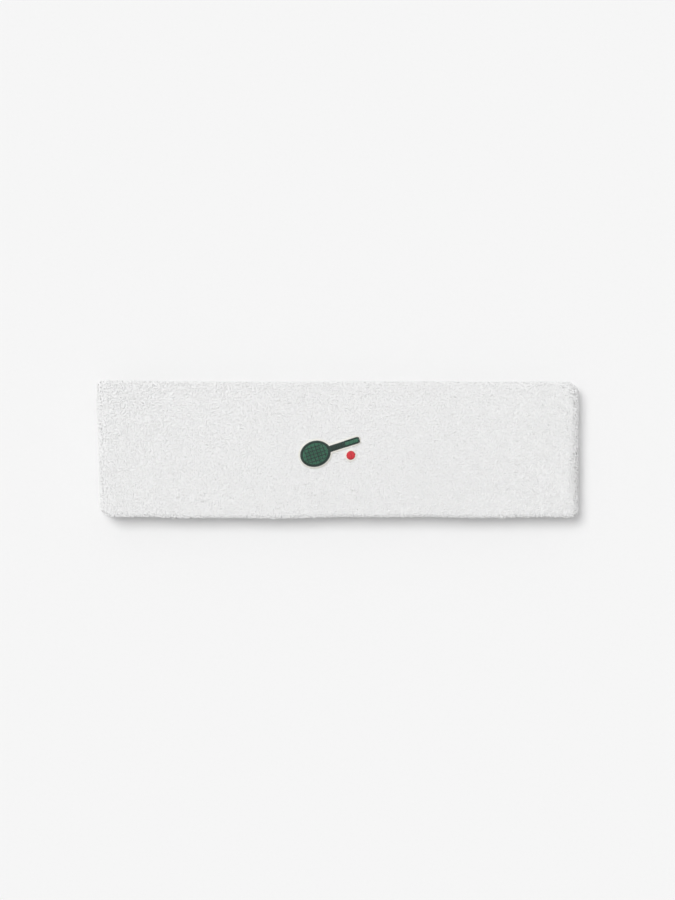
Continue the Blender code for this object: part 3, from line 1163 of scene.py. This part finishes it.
    def _nap_normals(self, feet: np.ndarray, facing: np.ndarray, s: np.ndarray,
                     outward: np.ndarray, each: int) -> np.ndarray:
        """Shading normals that lean towards those of a crowned cloth, by the nap share.

        Loose fibres scatter light more evenly than a smooth yarn would.  Only yarn that
        faces the same way as the crowned cloth leans, so the band's inner faces keep most of
        the yarn's own normals.

        Args:
            feet: Foot of each loop.
            facing: Normal of the cloth there.
            s: Distance along the band of each foot.
            outward: The yarn's own normal at each point.
            each: How many points a loop has.

        Returns:
            One unit normal for each point.
        """
        outer = self.layout.loop.frames(s)[2]
        reach = feet / np.array([self.layout.half_length, self.layout.width / 2.0, 1.0])
        lit = outer * np.array([self.edge_light[0], 0.0, self.edge_light[1]])
        soft = facing + lit + reach * np.array([*self.crown, 0.0])
        soft = np.repeat(unit(soft), each, axis=0)
        share = self.nap * smooth_step((np.sum(outward * soft, -1) + 0.15) / 0.5)[:, None]
        return unit(outward * (1.0 - share) + soft * share)

    def _inner_share(self, feet: np.ndarray, facing: np.ndarray) -> np.ndarray:
        """How far each loop faces into the slit, from 0 to 1, where the walls press the pile."""
        toward = np.where(feet[:, 2] < self.layout.mid_z, facing[:, 2], -facing[:, 2])
        inside = np.abs(feet[:, 0]) < self.layout.fold_x + 0.5 * MM
        return smooth_step((toward - 0.3) / 0.5) * inside


# --------------------------------------------------------------------- emblem


@dataclass
class Emblem:
    """An embroidered racket and ball on a cream backing, sewn to the front."""

    body: str = "front_centre_right"
    place: tuple[float, float] = (-3.2 * MM, 0.1 * MM)
    tilt: float = math.radians(18.0)
    head_centre: float = -6.2 * MM
    head_long: float = 6.0 * MM
    head_short: float = 5.0 * MM
    shaft_start: float = 3.0 * MM
    shaft_half: float = 1.2 * MM
    grip_start: float = 6.0 * MM
    racket_end: float = 12.0 * MM
    outline: float = 0.9 * MM
    backing_edge: float = 0.8 * MM
    ball_centre: tuple[float, float] = (6.8 * MM, -4.9 * MM)
    ball_radius: float = 1.7 * MM
    stitch_pitch: float = 0.27 * MM
    stitch_radius: float = 0.165 * MM
    throat_length: float = 4.4 * MM
    throat_rise: float = 1.9 * MM
    felt_drop: float = 0.35 * MM
    felt_wall: float = 1.25 * MM
    ply_length: float = 0.45 * MM
    seed: int = 23

    def local(self, x: np.ndarray, y: np.ndarray) -> tuple[np.ndarray, np.ndarray]:
        """Turn places on the band into the racket's own directions."""
        cosine, sine = math.cos(self.tilt), math.sin(self.tilt)
        x, y = x - self.place[0], y - self.place[1]
        return x * cosine + y * sine, -x * sine + y * cosine

    def world(self, x: np.ndarray, y: np.ndarray, z: np.ndarray) -> np.ndarray:
        """Turn places in the racket's own directions into places on the band."""
        cosine, sine = math.cos(self.tilt), math.sin(self.tilt)
        return np.stack([self.place[0] + x * cosine - y * sine,
                         self.place[1] + x * sine + y * cosine, z + 0.0 * x], -1)

    def half_height(self, x: np.ndarray, grow: float) -> np.ndarray:
        """Half the racket's height at each x: the larger of the head's ellipse and the shaft.

        The throat eases from the ellipse to the shaft with a cubic, and the butt is round.
        """
        reach = (x - self.head_centre) / (self.head_long + grow)
        head = (self.head_short + grow) * np.sqrt(np.clip(1.0 - reach ** 2, 0.0, 1.0))
        shaft = np.full_like(x, self.shaft_half + grow)
        ease = smooth_step((self.shaft_start - x) / self.throat_length)
        throat = shaft + ease * self.throat_rise
        butt = np.clip(self.racket_end + grow - x, 0.0, self.shaft_half + grow)
        round_end = np.sqrt(np.clip(2.0 * butt * (self.shaft_half + grow) - butt ** 2, 0.0, None))
        handle = np.where(x > self.head_centre + 2.0 * MM, np.minimum(throat, round_end), 0.0)
        return np.maximum(head, handle)

    def covers(self, feet: np.ndarray, height: float) -> np.ndarray:
        """Whether each foot of the pile lies under the backing, on the front face."""
        x, y = self.local(feet[:, 0], feet[:, 1])
        edge = self.backing_edge - 0.25 * MM
        racket = np.abs(y) < self.half_height(x, edge)
        racket &= (x > self.head_centre - self.head_long - edge) & (x < self.racket_end + edge)
        ball_x, ball_y = self.ball_centre
        ball = np.hypot(x - ball_x, y - ball_y) < self.ball_radius + edge
        return (racket | ball) & (feet[:, 2] > 0.8 * height)

    def build(self) -> None:
        """Build the backing and each block of thread."""
        self.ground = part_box("emblem_backing")[1].z
        self.draw = np.random.default_rng(self.seed)
        # The felt's darker cream is painted shade between its ribs, mixed with random fibre tone.
        felt = woven_material("emblem_felt", (0.94, 0.93, 0.88), (0.86, 0.84, 0.78), 0.5 * MM)
        green = thread_material("emblem_green_thread", GREEN_THREAD)
        dark = thread_material("emblem_dark_thread", DARK_THREAD)
        red = thread_material("emblem_red_thread", RED_THREAD)
        self._backing(felt)
        self._ball_backing(felt)
        self._block("emblem_outline_stitches", self._outline_stitches(), dark,
                    "emblem_racket_outline")
        self._block("emblem_head_stitches", self._head_stitches(), green,
                    "emblem_racket_strings")
        self._block("emblem_string_stitches", self._string_stitches(), dark, None)
        self._block("emblem_grip_stitches", self._grip_stitches(), green,
                    "emblem_racket_grip")
        self._block("emblem_ball_stitches", self._ball_stitches(), red, "emblem_ball")

    def _place(self, piece: bpy.types.Object, node: str | None) -> None:
        """Let a piece ride on the front and stand for its CAD node."""
        if node is not None:
            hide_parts(node)
        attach(piece, self.body)
        LOG.info("%s: %d points", piece.name, len(piece.data.vertices))

    def _cushion(self, name: str, outline: np.ndarray, centre: np.ndarray,
                 felt: bpy.types.Material, node: str) -> None:
        """A felt plate whose rim is sewn down: rings from the centre out and down.

        Ring k lies at a share r of the way from the centre to the outline, and at a height
        of top - drop * r^6, then the wall goes straight down and back under.
        """
        steps = np.linspace(0.0, 1.0, 9)[1:]
        shares = np.concatenate([steps, [1.0, 0.96]])
        drops = np.concatenate([self.felt_drop * steps ** 6,
                                [self.felt_wall, self.felt_wall + 0.1 * MM]])
        middle = np.array([centre[0], centre[1]])
        rings = middle + shares[:, None, None] * (outline[None] - middle)
        heights = np.broadcast_to((self.ground - drops)[:, None], rings.shape[:2])
        points = self.world(rings[..., 0], rings[..., 1], heights).reshape(-1, 3)
        count = outline.shape[0]
        crown = self.world(np.array([middle[0]]), np.array([middle[1]]), np.array([self.ground]))
        sole = crown - np.array([[0.0, 0.0, drops[-1]]])
        points = np.concatenate([points, crown, sole])
        plate = make_object(name, points, grid_quads(len(shares), count, True),
                            hub_fans(len(shares), count))
        plate.data.materials.append(felt)
        self._place(plate, node)

    def _backing(self, felt: bpy.types.Material) -> None:
        """The cream backing that shows round the racket."""
        low = self.head_centre - self.head_long - self.backing_edge
        high = self.racket_end + self.backing_edge
        share = (1.0 - np.cos(np.linspace(0.0, math.pi, 90))) / 2.0
        x = low + (high - low) * share
        y = self.half_height(x, self.backing_edge)
        lower = np.stack([x, -y], -1)
        upper = np.stack([x[::-1], y[::-1]], -1)
        outline = np.concatenate([lower[:-1], upper[:-1]])
        self._cushion("emblem_felt_backing", outline, np.array([-3.0 * MM, 0.0]), felt,
                      "emblem_backing")

    def _ball_backing(self, felt: bpy.types.Material) -> None:
        """The cream backing that shows round the ball."""
        angle = np.arange(40) * FULL_TURN / 40
        centre = np.array(self.ball_centre)
        spoke = np.stack([np.cos(angle), np.sin(angle)], -1)
        outline = centre + (self.ball_radius + self.backing_edge) * spoke
        self._cushion("emblem_ball_felt_backing", outline, centre, felt, "emblem_ball_backing")

    def _outline_stitches(self) -> tuple[np.ndarray, np.ndarray, float]:
        """Satin stitches square to the edge, all round the head, the shaft and the grip."""
        girth = math.pi * (self.head_long + self.head_short)
        count = int(girth / self.stitch_pitch)
        angle = np.arange(count) * FULL_TURN / count
        slant = angle + 0.09
        inner_long = self.head_long - self.outline
        inner_short = self.head_short - self.outline
        inside = np.stack([self.head_centre + inner_long * np.cos(angle),
                           inner_short * np.sin(angle)], -1)
        outside = np.stack([self.head_centre + self.head_long * np.cos(slant),
                            self.head_short * np.sin(slant)], -1)
        throat = np.arange(self.head_centre + self.head_long - 0.6 * MM, self.grip_start,
                           self.stitch_pitch)
        tall = self.half_height(throat, 0.0)
        throat_low = np.stack([throat, -tall], -1)
        throat_high = np.stack([throat + 0.15 * MM, tall], -1)
        starts, ends = [inside, throat_low], [outside, throat_high]
        grip = np.arange(self.grip_start, self.racket_end - 0.15 * MM, self.stitch_pitch)
        tall = self.half_height(grip, 0.0)
        for edge in (1.0, -1.0):
            starts.append(np.stack([grip, edge * (tall - 0.5 * MM)], -1))
            ends.append(np.stack([grip + 0.1 * MM, edge * tall], -1))
        butt = np.linspace(-0.8, 0.8, 6) * self.shaft_half
        tip = np.full(6, self.racket_end) - 0.25 * MM * (butt / self.shaft_half) ** 2
        starts.append(np.stack([np.full(6, self.racket_end - 0.9 * MM), butt], -1))
        ends.append(np.stack([tip, butt], -1))
        return np.concatenate(starts), np.concatenate(ends), 0.22 * MM

    def _fill(self, half_height_of: Callable[[np.ndarray], np.ndarray], low: float,
              high: float, slope: float, length: float) -> tuple[np.ndarray, np.ndarray]:
        """Rows of end-to-end stitches across a shape, each row shifted from the last.

        Args:
            half_height_of: Half height of the shape at each x.
            low: Left end of the shape.
            high: Right end of the shape.
            slope: How far a row leans along X from its foot to its head.
            length: Longest stitch.

        Returns:
            Starts and ends of the stitches.
        """
        starts, ends = [], []
        for number, x in enumerate(np.arange(low, high, self.stitch_pitch)):
            tall = float(half_height_of(np.array([x]))[0])
            if tall < 0.25 * MM:
                continue
            cuts = np.arange(-tall + (number % 3) * length / 3.0, tall, length)
            inside = (cuts > -tall + 0.3 * MM) & (cuts < tall - 0.3 * MM)
            cuts = np.concatenate([[-tall], cuts[inside], [tall]])
            column = np.stack([x + slope * cuts / max(tall, 1e-6), cuts], -1)
            starts.append(column[:-1])
            ends.append(column[1:])
        return np.concatenate(starts), np.concatenate(ends)

    def _head_stitches(self) -> tuple[np.ndarray, np.ndarray, float]:
        """Green rows that fill the head."""
        long_radius = self.head_long - self.outline + 0.10 * MM
        short_radius = self.head_short - self.outline + 0.10 * MM

        def tall(x: np.ndarray) -> np.ndarray:
            reach = (x - self.head_centre) / long_radius
            return short_radius * np.sqrt(np.clip(1.0 - reach ** 2, 0.0, 1.0))

        starts, ends = self._fill(tall, self.head_centre - long_radius,
                                  self.head_centre + long_radius, 0.2 * MM, 2.6 * MM)
        return starts, ends, 0.10 * MM

    def _string_stitches(self) -> tuple[np.ndarray, np.ndarray, float]:
        """Dark threads laid both ways over the head, as the racket's strings."""
        long_radius = self.head_long - self.outline
        short_radius = self.head_short - self.outline
        starts, ends = [], []
        for offset in np.linspace(-0.72, 0.72, 6):
            reach = short_radius * math.sqrt(1.0 - offset ** 2)
            x = self.head_centre + offset * long_radius
            starts.append((x, -reach))
            ends.append((x, reach))
        for offset in np.linspace(-0.66, 0.66, 5):
            reach = long_radius * math.sqrt(1.0 - offset ** 2)
            starts.append((self.head_centre - reach, offset * short_radius))
            ends.append((self.head_centre + reach, offset * short_radius))
        return np.array(starts), np.array(ends), 0.34 * MM

    def _grip_stitches(self) -> tuple[np.ndarray, np.ndarray, float]:
        """Green rows across the grip."""
        x = np.arange(self.grip_start + 0.1 * MM, self.racket_end - 0.7 * MM, self.stitch_pitch)
        tall = np.full_like(x, self.shaft_half - 0.42 * MM)
        return np.stack([x, -tall], -1), np.stack([x + 0.2 * MM, tall], -1), 0.24 * MM

    def _ball_stitches(self) -> tuple[np.ndarray, np.ndarray, float]:
        """Red rows across the ball."""
        x = np.arange(-self.ball_radius + 0.12 * MM, self.ball_radius, self.stitch_pitch)
        tall = np.sqrt(np.clip(self.ball_radius ** 2 - x ** 2, 0.0, None))
        centre_x, centre_y = self.ball_centre
        starts = np.stack([centre_x + x, centre_y - tall], -1)
        ends = np.stack([centre_x + x + 0.12 * MM, centre_y + tall], -1)
        return starts, ends, 0.30 * MM

    def _block(self, name: str, stitches: tuple[np.ndarray, np.ndarray, float],
               thread: bpy.types.Material, node: str | None) -> None:
        """Turn starts and ends into arched lengths of thread.

        A stitch is its chord raised by lift * (1 - (2t - 1)^4), so both ends dive into the felt.
        """
        starts, ends, lift = stitches
        count, steps, sides = len(starts), 6, 6
        t = np.linspace(0.0, 1.0, steps)
        flat = starts[:, None, :] + (ends - starts)[:, None, :] * t[:, None]
        uneven = self.draw.uniform(0.9, 1.1, count)[:, None]
        height = self.ground + uneven * (lift * (1.0 - (2.0 * t - 1.0) ** 4)) + 0.02 * MM
        paths = self.world(flat[..., 0], flat[..., 1], height)
        across = np.cross(unit(paths[:, -1] - paths[:, 0]), np.array([0.0, 0.0, 1.0]))
        radius = np.repeat(self.stitch_radius * self.draw.uniform(0.92, 1.08, count)[:, None],
                           steps, axis=1)
        points, quads, _ = tubes(paths, across, radius, sides)
        block = make_object(name, points, quads, tube_caps(count, steps, sides))
        shades = np.repeat(self.draw.uniform(0.0, 1.0, count), steps * sides)
        length = np.linalg.norm(ends - starts, axis=1)[:, None] * t
        turns = length[:, :, None] / self.ply_length * FULL_TURN
        turns = turns + np.arange(sides) * FULL_TURN / sides
        add_values(block, "yarn_shade", shades)
        add_values(block, "thread_turn", turns)
        block.data.materials.append(thread)
        self._place(block, node)


# --------------------------------------------------- elastic core and closing seam


@dataclass
class ElasticCore:
    """The woven elastic band inside the flattened tube."""

    layout: BandLayout
    grid_step: float = 2.0 * MM
    edge_radius: float = 0.4 * MM
    columns: int = 40

    def build(self) -> None:
        """Build one length of elastic for every span."""
        low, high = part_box("core_front_centre_right")
        section = Section(high.y - low.y, high.z - low.z, self.edge_radius)
        # The elastic's darker grey is painted shade between its ribs, mixed with random fibre tone.
        elastic = woven_material("elastic_weave", (0.80, 0.80, 0.78), (0.55, 0.55, 0.53), 1.2 * MM)
        for span in self.layout.spans:
            rows, columns = max(int((span.s_end - span.s_start) / self.grid_step), 6), self.columns
            s, u = np.meshgrid(np.linspace(span.s_start, span.s_end, rows),
                               np.arange(columns) * section.girth / columns, indexing="ij")
            points = self.layout.surface(section, s, u, squeeze=False)[0]
            points = self.layout.lie.settle(points)
            ends = points[[0, -1]].mean(axis=1)
            points = np.concatenate([points.reshape(-1, 3), ends])
            core = make_object("elastic_core_" + span.name, points,
                               grid_quads(rows, columns, True), hub_fans(rows, columns))
            core.data.materials.append(elastic)
            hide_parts("core_" + span.name)
            span.bend(core, self.layout.mid_z)
            LOG.info("%s: %d points", core.name, len(points))


@dataclass
class ClosingSeam:
    """Where the two ends of the tube meet at centre back: a turned-in ridge and its threads."""

    layout: BandLayout
    stitch_pitch: float = 1.8 * MM
    thread_radius: float = 0.13 * MM
    thread_sides: int = 5
    sink: float = 0.45 * MM
    outer_pitch: float = 2.4 * MM
    outer_reach: float = 1.1 * MM
    outer_share: float = 0.92
    seed: int = 41

    def build(self) -> None:
        """Build the ridge, the overlock threads over it and the stitches on the outer face."""
        thread = thread_material("seam_thread_white", WHITE_THREAD)
        self._ridge()
        self._overlock(thread)
        self._outer_stitches(thread)

    def _ridge(self) -> None:
        """The folded seam allowance: a low pad that puckers between stitches.

        Its section is an ellipse about the foot of the pile, with a flat lower half, and its
        height follows 0.88 + 0.12 cos(2 pi y / pitch).
        """
        low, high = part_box("seam_ridge")
        rows, columns = 90, 14
        y = np.linspace(low.y, high.y, rows)
        angle = np.arange(columns) * FULL_TURN / columns
        pucker = 0.88 + 0.12 * np.cos(FULL_TURN * y / self.stitch_pitch)
        taper = np.sqrt(np.clip(1.0 - np.abs(2.0 * y / (high.y - low.y)) ** 12, 0.02, 1.0))
        half_x = (high.x - low.x) / 2.0 * taper * (0.95 + 0.05 * np.sin(y * 900.0))
        foot = low.z - self.sink
        rise = (high.z - foot) * pucker * taper
        x = half_x[:, None] * np.cos(angle)
        z = foot + rise[:, None] * np.maximum(np.sin(angle), 0.25 * np.sin(angle))
        points = np.stack([x, np.broadcast_to(y[:, None], x.shape), z], -1)
        ends = points[[0, -1]].mean(axis=1)
        points = np.concatenate([points.reshape(-1, 3), ends])
        ridge = make_object("closing_seam_ridge", points, grid_quads(rows, columns, True),
                            hub_fans(rows, columns))
        ridge.data.materials.append(seam_allowance_material())
        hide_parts("seam_ridge")
        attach(ridge, "back_centre")
        LOG.info("%s: %d points", ridge.name, len(points))

    def _overlock(self, thread: bpy.types.Material) -> None:
        """Overlock thread: slanted stitches over the ridge, with a run along each of its sides."""
        low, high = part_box("seam_thread")
        ridge_low, ridge_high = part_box("seam_ridge")
        draw = np.random.default_rng(self.seed)
        count, steps = int((high.y - low.y) / self.stitch_pitch), 9
        y = low.y + (np.arange(count) + 0.5) * self.stitch_pitch
        y = y + draw.normal(0.0, 0.06 * MM, count)
        t = np.linspace(0.0, 1.0, steps)
        half = (ridge_high.x - ridge_low.x) / 2.0 + 0.1 * MM
        swing = -np.cos(math.pi * t)
        foot = ridge_low.z - self.sink
        rise = foot + ((low.z + high.z) / 2.0 - foot) * np.sqrt(1.0 - swing ** 2)
        over = np.stack([np.broadcast_to(half * swing, (count, steps)),
                         y[:, None] + self.stitch_pitch * 0.5 * t,
                         np.broadcast_to(rise, (count, steps))], -1)
        back = over.copy()
        back[..., 0] = -over[..., 0]
        back[..., 1] = y[:, None] + self.stitch_pitch * (0.5 + 0.5 * t)
        back[..., 2] = over[..., 2] - 0.02 * MM
        paths = np.concatenate([over, back])
        across = np.tile(np.array([[0.0, 1.0, 0.15]]), (len(paths), 1))
        piece = self._threads("closing_seam_overlock", paths, across, thread, draw)
        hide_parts("seam_thread")

    def _outer_stitches(self, thread: bpy.types.Material) -> None:
        """Short stitches that draw the two ends together on the outer face."""
        draw = np.random.default_rng(self.seed + 1)
        count, steps = int(self.layout.width * self.outer_share / self.outer_pitch), 7
        y = (np.arange(count) - (count - 1) / 2.0) * self.outer_pitch
        t = np.linspace(0.0, 1.0, steps)
        x = np.broadcast_to(self.outer_reach * (2.0 * t - 1.0), (count, steps))
        z = np.broadcast_to(0.95 * MM - 0.35 * MM * np.sin(math.pi * t), (count, steps))
        paths = np.stack([x, y[:, None] + 0.5 * MM * t, z], -1)
        across = np.tile(np.array([[0.0, 1.0, 0.0]]), (count, 1))
        self._threads("closing_seam_outer_stitches", paths, across, thread, draw)

    def _threads(self, name: str, paths: np.ndarray, across: np.ndarray,
                 thread: bpy.types.Material, draw: np.random.Generator) -> bpy.types.Object:
        """Lay thread along paths, dress it and let it ride on the back.

        Args:
            name: Name of the piece.
            paths: Array (n, k, 3), one path for each stitch.
            across: Array (n, 3), a vector that no path runs along.
            thread: Its material.
            draw: The random draw for the shade of each stitch.

        Returns:
            The piece.
        """
        count, steps, sides = len(paths), paths.shape[1], self.thread_sides
        radius = np.full(paths.shape[:2], self.thread_radius)
        points, quads, _ = tubes(paths, across, radius, sides)
        piece = make_object(name, points, quads, tube_caps(count, steps, sides))
        shades = np.repeat(draw.uniform(0.0, 1.0, count), steps * sides)
        along = np.linspace(0.0, 8.0, steps)[:, None] * FULL_TURN / 2.0
        turns = along + np.arange(sides) * FULL_TURN / sides
        add_values(piece, "yarn_shade", shades)
        add_values(piece, "thread_turn", np.tile(turns.ravel(), count))
        piece.data.materials.append(thread)
        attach(piece, "back_centre")
        LOG.info("%s: %d points", piece.name, len(piece.data.vertices))
        return piece


def seam_allowance_material() -> bpy.types.Material:
    """The seam allowance's cloth, which is the ground knit seen edge on, with painted shade between
    its ribs.
    """
    return woven_material("seam_allowance_knit", WHITE_COTTON.light, WHITE_COTTON.deep, 0.8 * MM)


# --------------------------------------------------------------------- studio


@dataclass
class Studio:
    """A pale floor, soft light from the upper left and a camera straight above."""

    floor_half: float = 3.0
    band_top: float = 11.0 * MM
    seen_height: float = 0.3540
    lens: float = 100.0
    sensor: float = 36.0
    centre: tuple[float, float] = (-0.4 * MM, -0.35 * MM)
    key_strength: float = 1.60
    key_spread: float = math.radians(30.0)
    key_from: tuple[float, float, float] = (-0.33, 0.33, 1.0)
    sky_strength: float = 0.545

    def build(self) -> None:
        """Set up the floor, the lights and the camera."""
        bpy.context.scene.view_settings.view_transform = "Standard"
        self._floor()
        self._key()
        self._sky()
        self._camera()

    def _floor(self) -> None:
        """A wide pale sheet of card."""
        square = np.array([[-1.0, -1.0, 0.0], [1.0, -1.0, 0.0], [1.0, 1.0, 0.0], [-1.0, 1.0, 0.0]])
        floor = make_object("studio_floor", self.floor_half * square, np.array([[0, 1, 2, 3]]))
        material, tree = new_material("studio_card")
        place = tree.nodes.new("ShaderNodeTexCoord")
        place.label = "Place on the floor"
        place.location = (-700, 0)
        grain = tree.nodes.new("ShaderNodeTexNoise")
        grain.label = "Card grain"
        grain.location = (-500, 0)
        grain.inputs["Scale"].default_value = 900.0
        ramp = tree.nodes.new("ShaderNodeValToRGB")
        ramp.label = "Pale card"
        ramp.location = (-300, 0)
        ramp.color_ramp.elements[0].color = (0.905, 0.905, 0.905, 1.0)
        ramp.color_ramp.elements[1].color = (0.925, 0.925, 0.925, 1.0)
        shader = tree.nodes.new("ShaderNodeBsdfPrincipled")
        shader.label = "Card"
        shader.location = (0, 0)
        shader.inputs["Roughness"].default_value = 0.95
        output = tree.nodes.new("ShaderNodeOutputMaterial")
        output.label = "Surface"
        output.location = (300, 0)
        tree.links.new(place.outputs["Object"], grain.inputs["Vector"])
        tree.links.new(grain.outputs["Fac"], ramp.inputs["Fac"])
        tree.links.new(ramp.outputs["Color"], shader.inputs["Base Color"])
        tree.links.new(shader.outputs["BSDF"], output.inputs["Surface"])
        floor.data.materials.append(material)

    def _key(self) -> None:
        """A broad, even light from the upper left, steep enough for a short soft shadow."""
        data = bpy.data.lights.new("key_softlight", "SUN")
        data.energy = self.key_strength
        data.angle = self.key_spread
        lamp = bpy.data.objects.new("key_softlight", data)
        bpy.context.scene.collection.objects.link(lamp)
        lamp.location = self.key_from
        lamp.rotation_mode = "QUATERNION"
        lamp.rotation_quaternion = (-lamp.location).to_track_quat("-Z", "Y")

    def _sky(self) -> None:
        """Even light from all round."""
        world = bpy.data.worlds.new("studio_sky")
        bpy.context.scene.world = world
        world.use_nodes = True
        background = world.node_tree.nodes["Background"]
        background.inputs["Color"].default_value = (1.0, 1.0, 1.0, 1.0)
        background.inputs["Strength"].default_value = self.sky_strength

    def _camera(self) -> None:
        """Look straight down, with X to the right."""
        data = bpy.data.cameras.new("camera")
        data.lens = self.lens
        data.sensor_width = self.sensor
        camera = bpy.data.objects.new("camera", data)
        bpy.context.scene.collection.objects.link(camera)
        distance = self.seen_height * self.lens / self.sensor
        camera.location = (self.centre[0], self.centre[1], distance + self.band_top)
        data.clip_start = 0.05
        data.clip_end = 20.0
        bpy.context.scene.camera = camera


# ----------------------------------------------------------------------- main


def main() -> None:
    """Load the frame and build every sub-assembly."""
    logging.basicConfig(level=logging.INFO, format="%(message)s")
    for obj in list(bpy.data.objects):
        bpy.data.objects.remove(obj, do_unlink=True)
    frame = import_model()
    layout = BandLayout(frame)
    Studio().build()
    emblem = Emblem()
    TerrySleeve(layout, emblem).build()
    ElasticCore(layout).build()
    ClosingSeam(layout).build()
    emblem.build()


if __name__ == "__main__":
    main()
